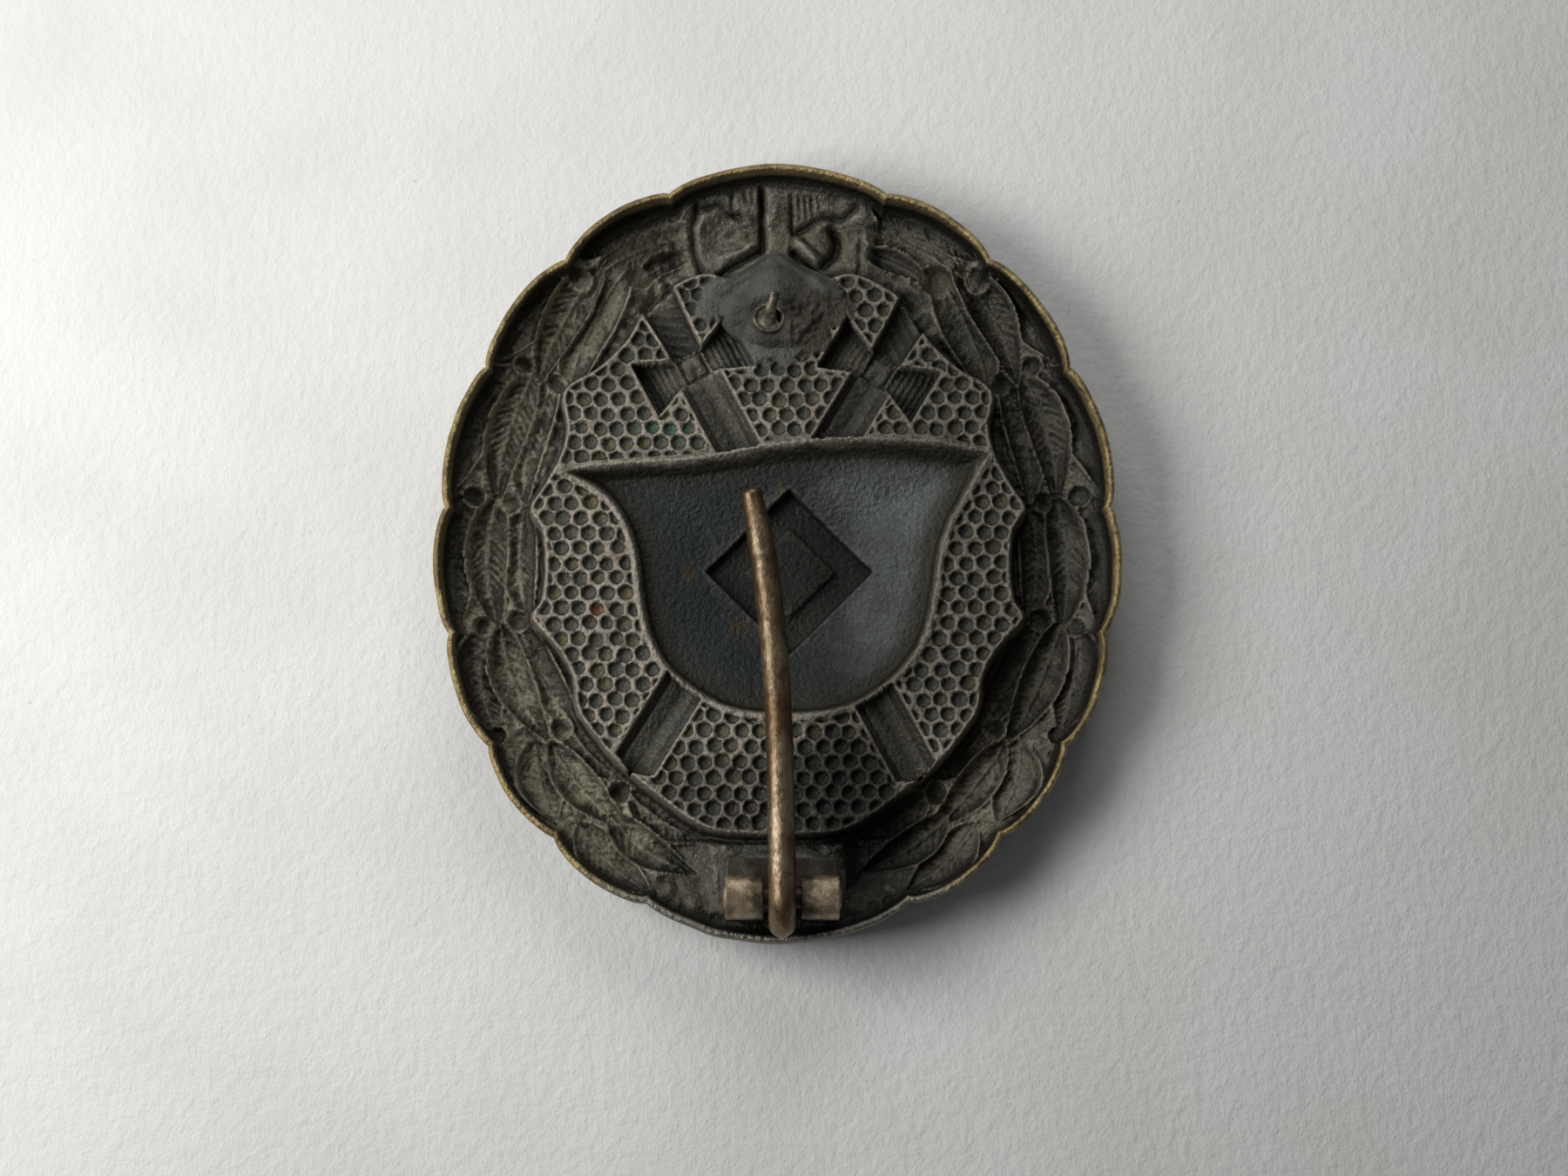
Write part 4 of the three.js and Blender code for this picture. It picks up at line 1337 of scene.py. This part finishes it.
def dark_places(paint, skin, shaded):
    # Painted shade inside the helmet's brim, under its edge.
    brim = paint.times(paint.mask("brim"), paint.step(paint.fine, 0.3, 0.6, 0.95, 0.7))
    for share, colour in (
            (paint.times(shaded, 0.62), (40, 40, 33)),
            (paint.step(paint.mask("hollow"), 0.03, 0.7, 0.0, 0.8), (28, 27, 23)),
            (paint.times(paint.mask("sword"), 0.3), (34, 36, 32)),
            (paint.step(paint.mask("wall"), 0.02, 0.4, 0.0, 0.85), (30, 27, 22)),
            (brim, (44, 42, 31))):
        skin = paint.mix(share, skin, colour)
    return skin


def solder_hill(paint):
    ragged = paint.step(paint.add(paint.mask("hill"), paint.fine), 0.65, 0.95)
    return paint.times(ragged, paint.step(paint.mask("hill"), 0.02, 0.15))


def soot_and_shade_places(paint):
    # Soot from the soldering beside the hinge, with painted shade right of the needle.
    soot_and_shade = paint.most(paint.spot(3.2, -13.9, 2.3, 2.6), paint.spot(3.9, -17.0, 1.5, 4.5))
    return paint.most(soot_and_shade, paint.times(paint.spot(-2.5, -18.0, 1.5, 4.0), 0.5))


print("light and dark areas described")

# %% [markdown]
# Last come rubbed ridges, a few spots of corrosion in the pits, and bare metal on the cut rim, which
# is greyer at the bottom. Rubbing counts for less where there is floor, soot, painted shade or solder.

# %% Sheet paint: wear, corrosion and rim
GREEN_SPOTS = ((-7.3, 6.9, 0.42), (-6.2, 7.1, 0.45), (-5.5, 6.7, 0.42))
RED_SPOT = (-10.2, -3.5, 0.4)
POMMEL_LIGHT_SPOTS = ((9.03, 15.74), (-7.84, 16.17))


def rubbed_ridges(paint, soot_and_shade, shaded, solder):
    return paint.times(paint.mask("wear"), paint.step(paint.middle, 0.2, 0.55, 0.6, 1.0),
                       paint.step(paint.fine, 0.36, 0.6, 0.55, 1.0),
                       paint.step(paint.mask("floor"), 0.0, 1.0, 1.0, 0.35),
                       paint.step(soot_and_shade, 0.0, 1.0, 0.85, 0.25),
                       paint.step(shaded, 0.0, 1.0, 1.0, 0.5),
                       paint.step(solder, 0.0, 0.8, 1.0, 0.15))


def corrosion(paint, skin):
    for spot, colour in [(spot, (60, 96, 78)) for spot in GREEN_SPOTS] + [(RED_SPOT, (118, 76, 54))]:
        skin = paint.mix(paint.times(paint.spot(*spot), paint.in_pit, 0.7), skin, colour)
    return skin


def rim_metal(paint):
    metal = paint.mix(paint.step(paint.middle, 0.35, 0.65), (170, 150, 104), (122, 106, 76))
    return paint.mix(paint.step(paint.y, -17.5, -20.0), metal, (134, 130, 118))


def paint_sheet(material):
    paint = Paint(material)
    paint.x, paint.y = paint.axis(paint.place, 0), paint.axis(paint.place, 1)
    paint.broad, paint.middle = paint.noise(7.0), paint.noise(1.3, 4.0)
    paint.fine, paint.speck = paint.noise(0.28, 3.0), paint.noise(0.35, 5.0, 0.7, shift=4.0)
    paint.in_pit = paint.step(paint.mask("pit"), 0.5, 0.9)
    skin = paint.mix(paint.mask("floor"), mottled_skin(paint), helmet_floor(paint))
    skin = paint_pits(paint, skin)
    # Left to right with a wavering edge, for painted light at the left and painted shade at the right.
    light_falloff = paint.add(paint.x, paint.times(paint.broad, 9.0))
    # A round pool of painted light low on the right of the wreath.
    light_pool_low_right = paint.times(paint.spot(10.0, -12.6, 1.5, 4.0), 0.6)
    skin = painted_light_and_grain(paint, skin, light_falloff, light_pool_low_right)
    shaded = shaded_side(paint, light_falloff, light_pool_low_right)
    skin = dark_places(paint, skin, shaded)
    solder, soot_and_shade = solder_hill(paint), soot_and_shade_places(paint)
    tin = paint.mix(paint.step(paint.x, 0.3, 2.2), (78, 79, 75), (56, 48, 38))
    skin = paint.mix(solder, skin, tin)
    # Painted light in the hollows of the two pommels.
    for x, y in POMMEL_LIGHT_SPOTS:
        skin = paint.mix(paint.times(paint.spot(x, y, 0.5, 0.4), 0.28), skin, (112, 104, 84))
    # Soot and painted shade darken the places beside the hinge.
    skin = paint.mix(paint.times(soot_and_shade, 0.9), skin, (22, 21, 19))
    rubbed = rubbed_ridges(paint, soot_and_shade, shaded, solder)
    skin = corrosion(paint, paint.mix(rubbed, skin, (172, 163, 148)))
    bare = paint.times(paint.mask("brass"), paint.step(paint.fine, 0.2, 0.5, 0.6, 1.0))
    skin = paint.mix(bare, skin, rim_metal(paint))
    metallic = paint.most(paint.times(rubbed, 0.8), paint.step(bare, 0.0, 1.0, 0.55, 0.95))
    bump = paint.add(paint.times(paint.fine, 0.6), paint.times(paint.speck, 0.5))
    paint.finish(skin, paint.step(paint.fine, 0.3, 0.7, 0.36, 0.54), metallic, bump, 0.2)


paint_sheet(patina)
print("nodes in the sheet's paint:", len(patina.node_tree.nodes))

# %% [markdown]
# The hinge, the needle and the solder each have their own mixture of two metals and stains. One
# recipe serves them all: two shades of metal, darker blotches, small pits, and a bump. The hinge also
# gathers grime and painted shade low down and next to the needle, and the knot has a brown crust.

# %% Paint the hinge, the needle and the solder
def add_crust(paint, colour, crust):
    patch = paint.step(paint.noise(0.5, 4.0, 0.7, shift=12.0), 0.4, 0.55, 0.2, 1.0)
    return paint.mix(paint.times(paint.spot(*crust, 1.0), patch), colour, (62, 52, 40))


def add_grime_and_shade(paint, colour, cloud, top):
    # Grime and painted shade on the low plate of the hinge.
    height = paint.add(paint.axis(paint.place, 2), paint.times(cloud, 1.5))
    low = paint.step(height, top + 1.2, top)
    colour = paint.mix(paint.times(low, 0.85), colour, (38, 40, 38))
    # Grime and painted shade along the hinge's middle, next to the needle.
    aside = paint.math("SUBTRACT", paint.axis(paint.place, 0), float(HINGE_X))
    aside = paint.math("SUBTRACT", paint.math("ABSOLUTE", aside), paint.times(cloud, 1.3))
    return paint.mix(paint.times(paint.step(aside, 1.2, 0.6), 0.8), colour, (46, 39, 30))


def paint_metal(name, light, dark, stain, pieces, roughness, metallic, pitch=1.0,
                stretch=(1, 1, 1), stain_share=0.6, rough=0.03, crust=None, grime_and_shade_top=None):
    material = bpy.data.materials.new(name)
    paint = Paint(material)
    cloud = paint.noise(1.6 * pitch, 3.0, stretch=stretch)
    fine = paint.noise(0.22 * pitch, 4.0, 0.65, stretch=stretch, shift=3.0)
    colour = paint.mix(paint.step(cloud, 0.38, 0.62), light, dark)
    blotch = paint.noise(0.7 * pitch, 4.0, 0.6, shift=8.0)
    colour = paint.mix(paint.step(blotch, 0.52, 0.66, 0, stain_share), colour, stain)
    if crust is not None:
        colour = add_crust(paint, colour, crust)
    if grime_and_shade_top is not None:
        colour = add_grime_and_shade(paint, colour, cloud, grime_and_shade_top)
    colour = paint.mix(paint.step(fine, 0.36, 0.26), colour, (48, 38, 30))
    gloss = paint.step(fine, 0.3, 0.7, roughness - 0.08, roughness + 0.12)
    paint.finish(colour, gloss, metallic, fine, rough)
    for piece in pieces:
        piece.data.materials.clear()
        piece.data.materials.append(material)


paint_metal("worn needle wire", (140, 124, 100), (98, 78, 54), (74, 52, 42), [needle], 0.32, 0.75,
            stretch=(1, 0.4, 1), rough=0.05)
paint_metal("worn hinge sheet", (172, 156, 130), (126, 112, 90), (74, 64, 50), [bracket, axle],
            0.4, 0.6, pitch=0.6, grime_and_shade_top=5.7)
paint_metal("dull solder", (88, 88, 83), (66, 66, 61), (70, 65, 56), [pad, knot], 0.55, 0.35,
            rough=0.16, crust=(2.1, 12.9, 1.3))
paint_metal("broken catch metal", (146, 137, 119), (92, 89, 79), (66, 58, 50), [washer, stub],
            0.45, 0.6, pitch=0.45, stain_share=0.8)
print("materials:", [m.name for m in bpy.data.materials if m.users])

# %% [markdown]
# The badge lies on its front on a sheet of pale textured paper. A large soft window stands at the
# left, a weaker skylight at the top, and the room around gives a little light back.

# %% Paper, window and room
PAPER_HALF = 160
PAPER_LEVEL = -0.02


def paper_floor():
    corners = [(x, y, PAPER_LEVEL) for x, y in ((-1, -1), (1, -1), (1, 1), (-1, 1))]
    floor = new_piece("paper", [(x * PAPER_HALF, y * PAPER_HALF, z) for x, y, z in corners],
                      [(0, 1, 2, 3)])
    material = bpy.data.materials.new("textured paper")
    paint = Paint(material)
    fibre = paint.noise(0.7, 5.0, 0.65, stretch=(1, 0.8, 1))
    cloud = paint.step(paint.noise(14.0, 3.0, 0.5, shift=6.0), 0.35, 0.7)
    flecks = paint.step(paint.noise(0.6, 2.0, shift=31.0), 0.72, 0.8, 0, 0.35)
    colour = paint.mix(cloud, (236, 236, 234), (229, 228, 225))
    colour = paint.mix(flecks, colour, (176, 164, 146))
    paint.finish(colour, 0.85, 0.0, fibre, 0.12)
    floor.data.materials.append(material)


def window(name, place, size, power):
    data = bpy.data.lights.new(name, "AREA")
    data.shape = "RECTANGLE"
    data.size, data.size_y = size[0] * MM, size[1] * MM
    data.energy = power
    data.color = (1.0, 1.0, 0.99)
    light = bpy.data.objects.new(name, data)
    light.location = Vector(place) * MM
    light.rotation_euler = (-light.location).to_track_quat("-Z", "Y").to_euler()
    bpy.context.scene.collection.objects.link(light)


paper_floor()
window("window", (-95, 0, 85), (80, 70), 0.131)
window("skylight", (0, 90, 75), (90, 60), 0.046)
world = bpy.data.worlds.new("room")
world.use_nodes = True
room = world.node_tree.nodes["Background"]
room.inputs["Color"].default_value = (0.96, 0.98, 1.0, 1.0)
room.inputs["Strength"].default_value = 0.07
bpy.context.scene.world = world
bpy.context.scene.view_settings.view_transform = "Standard"
print("lights:", [light.name for light in bpy.data.lights])
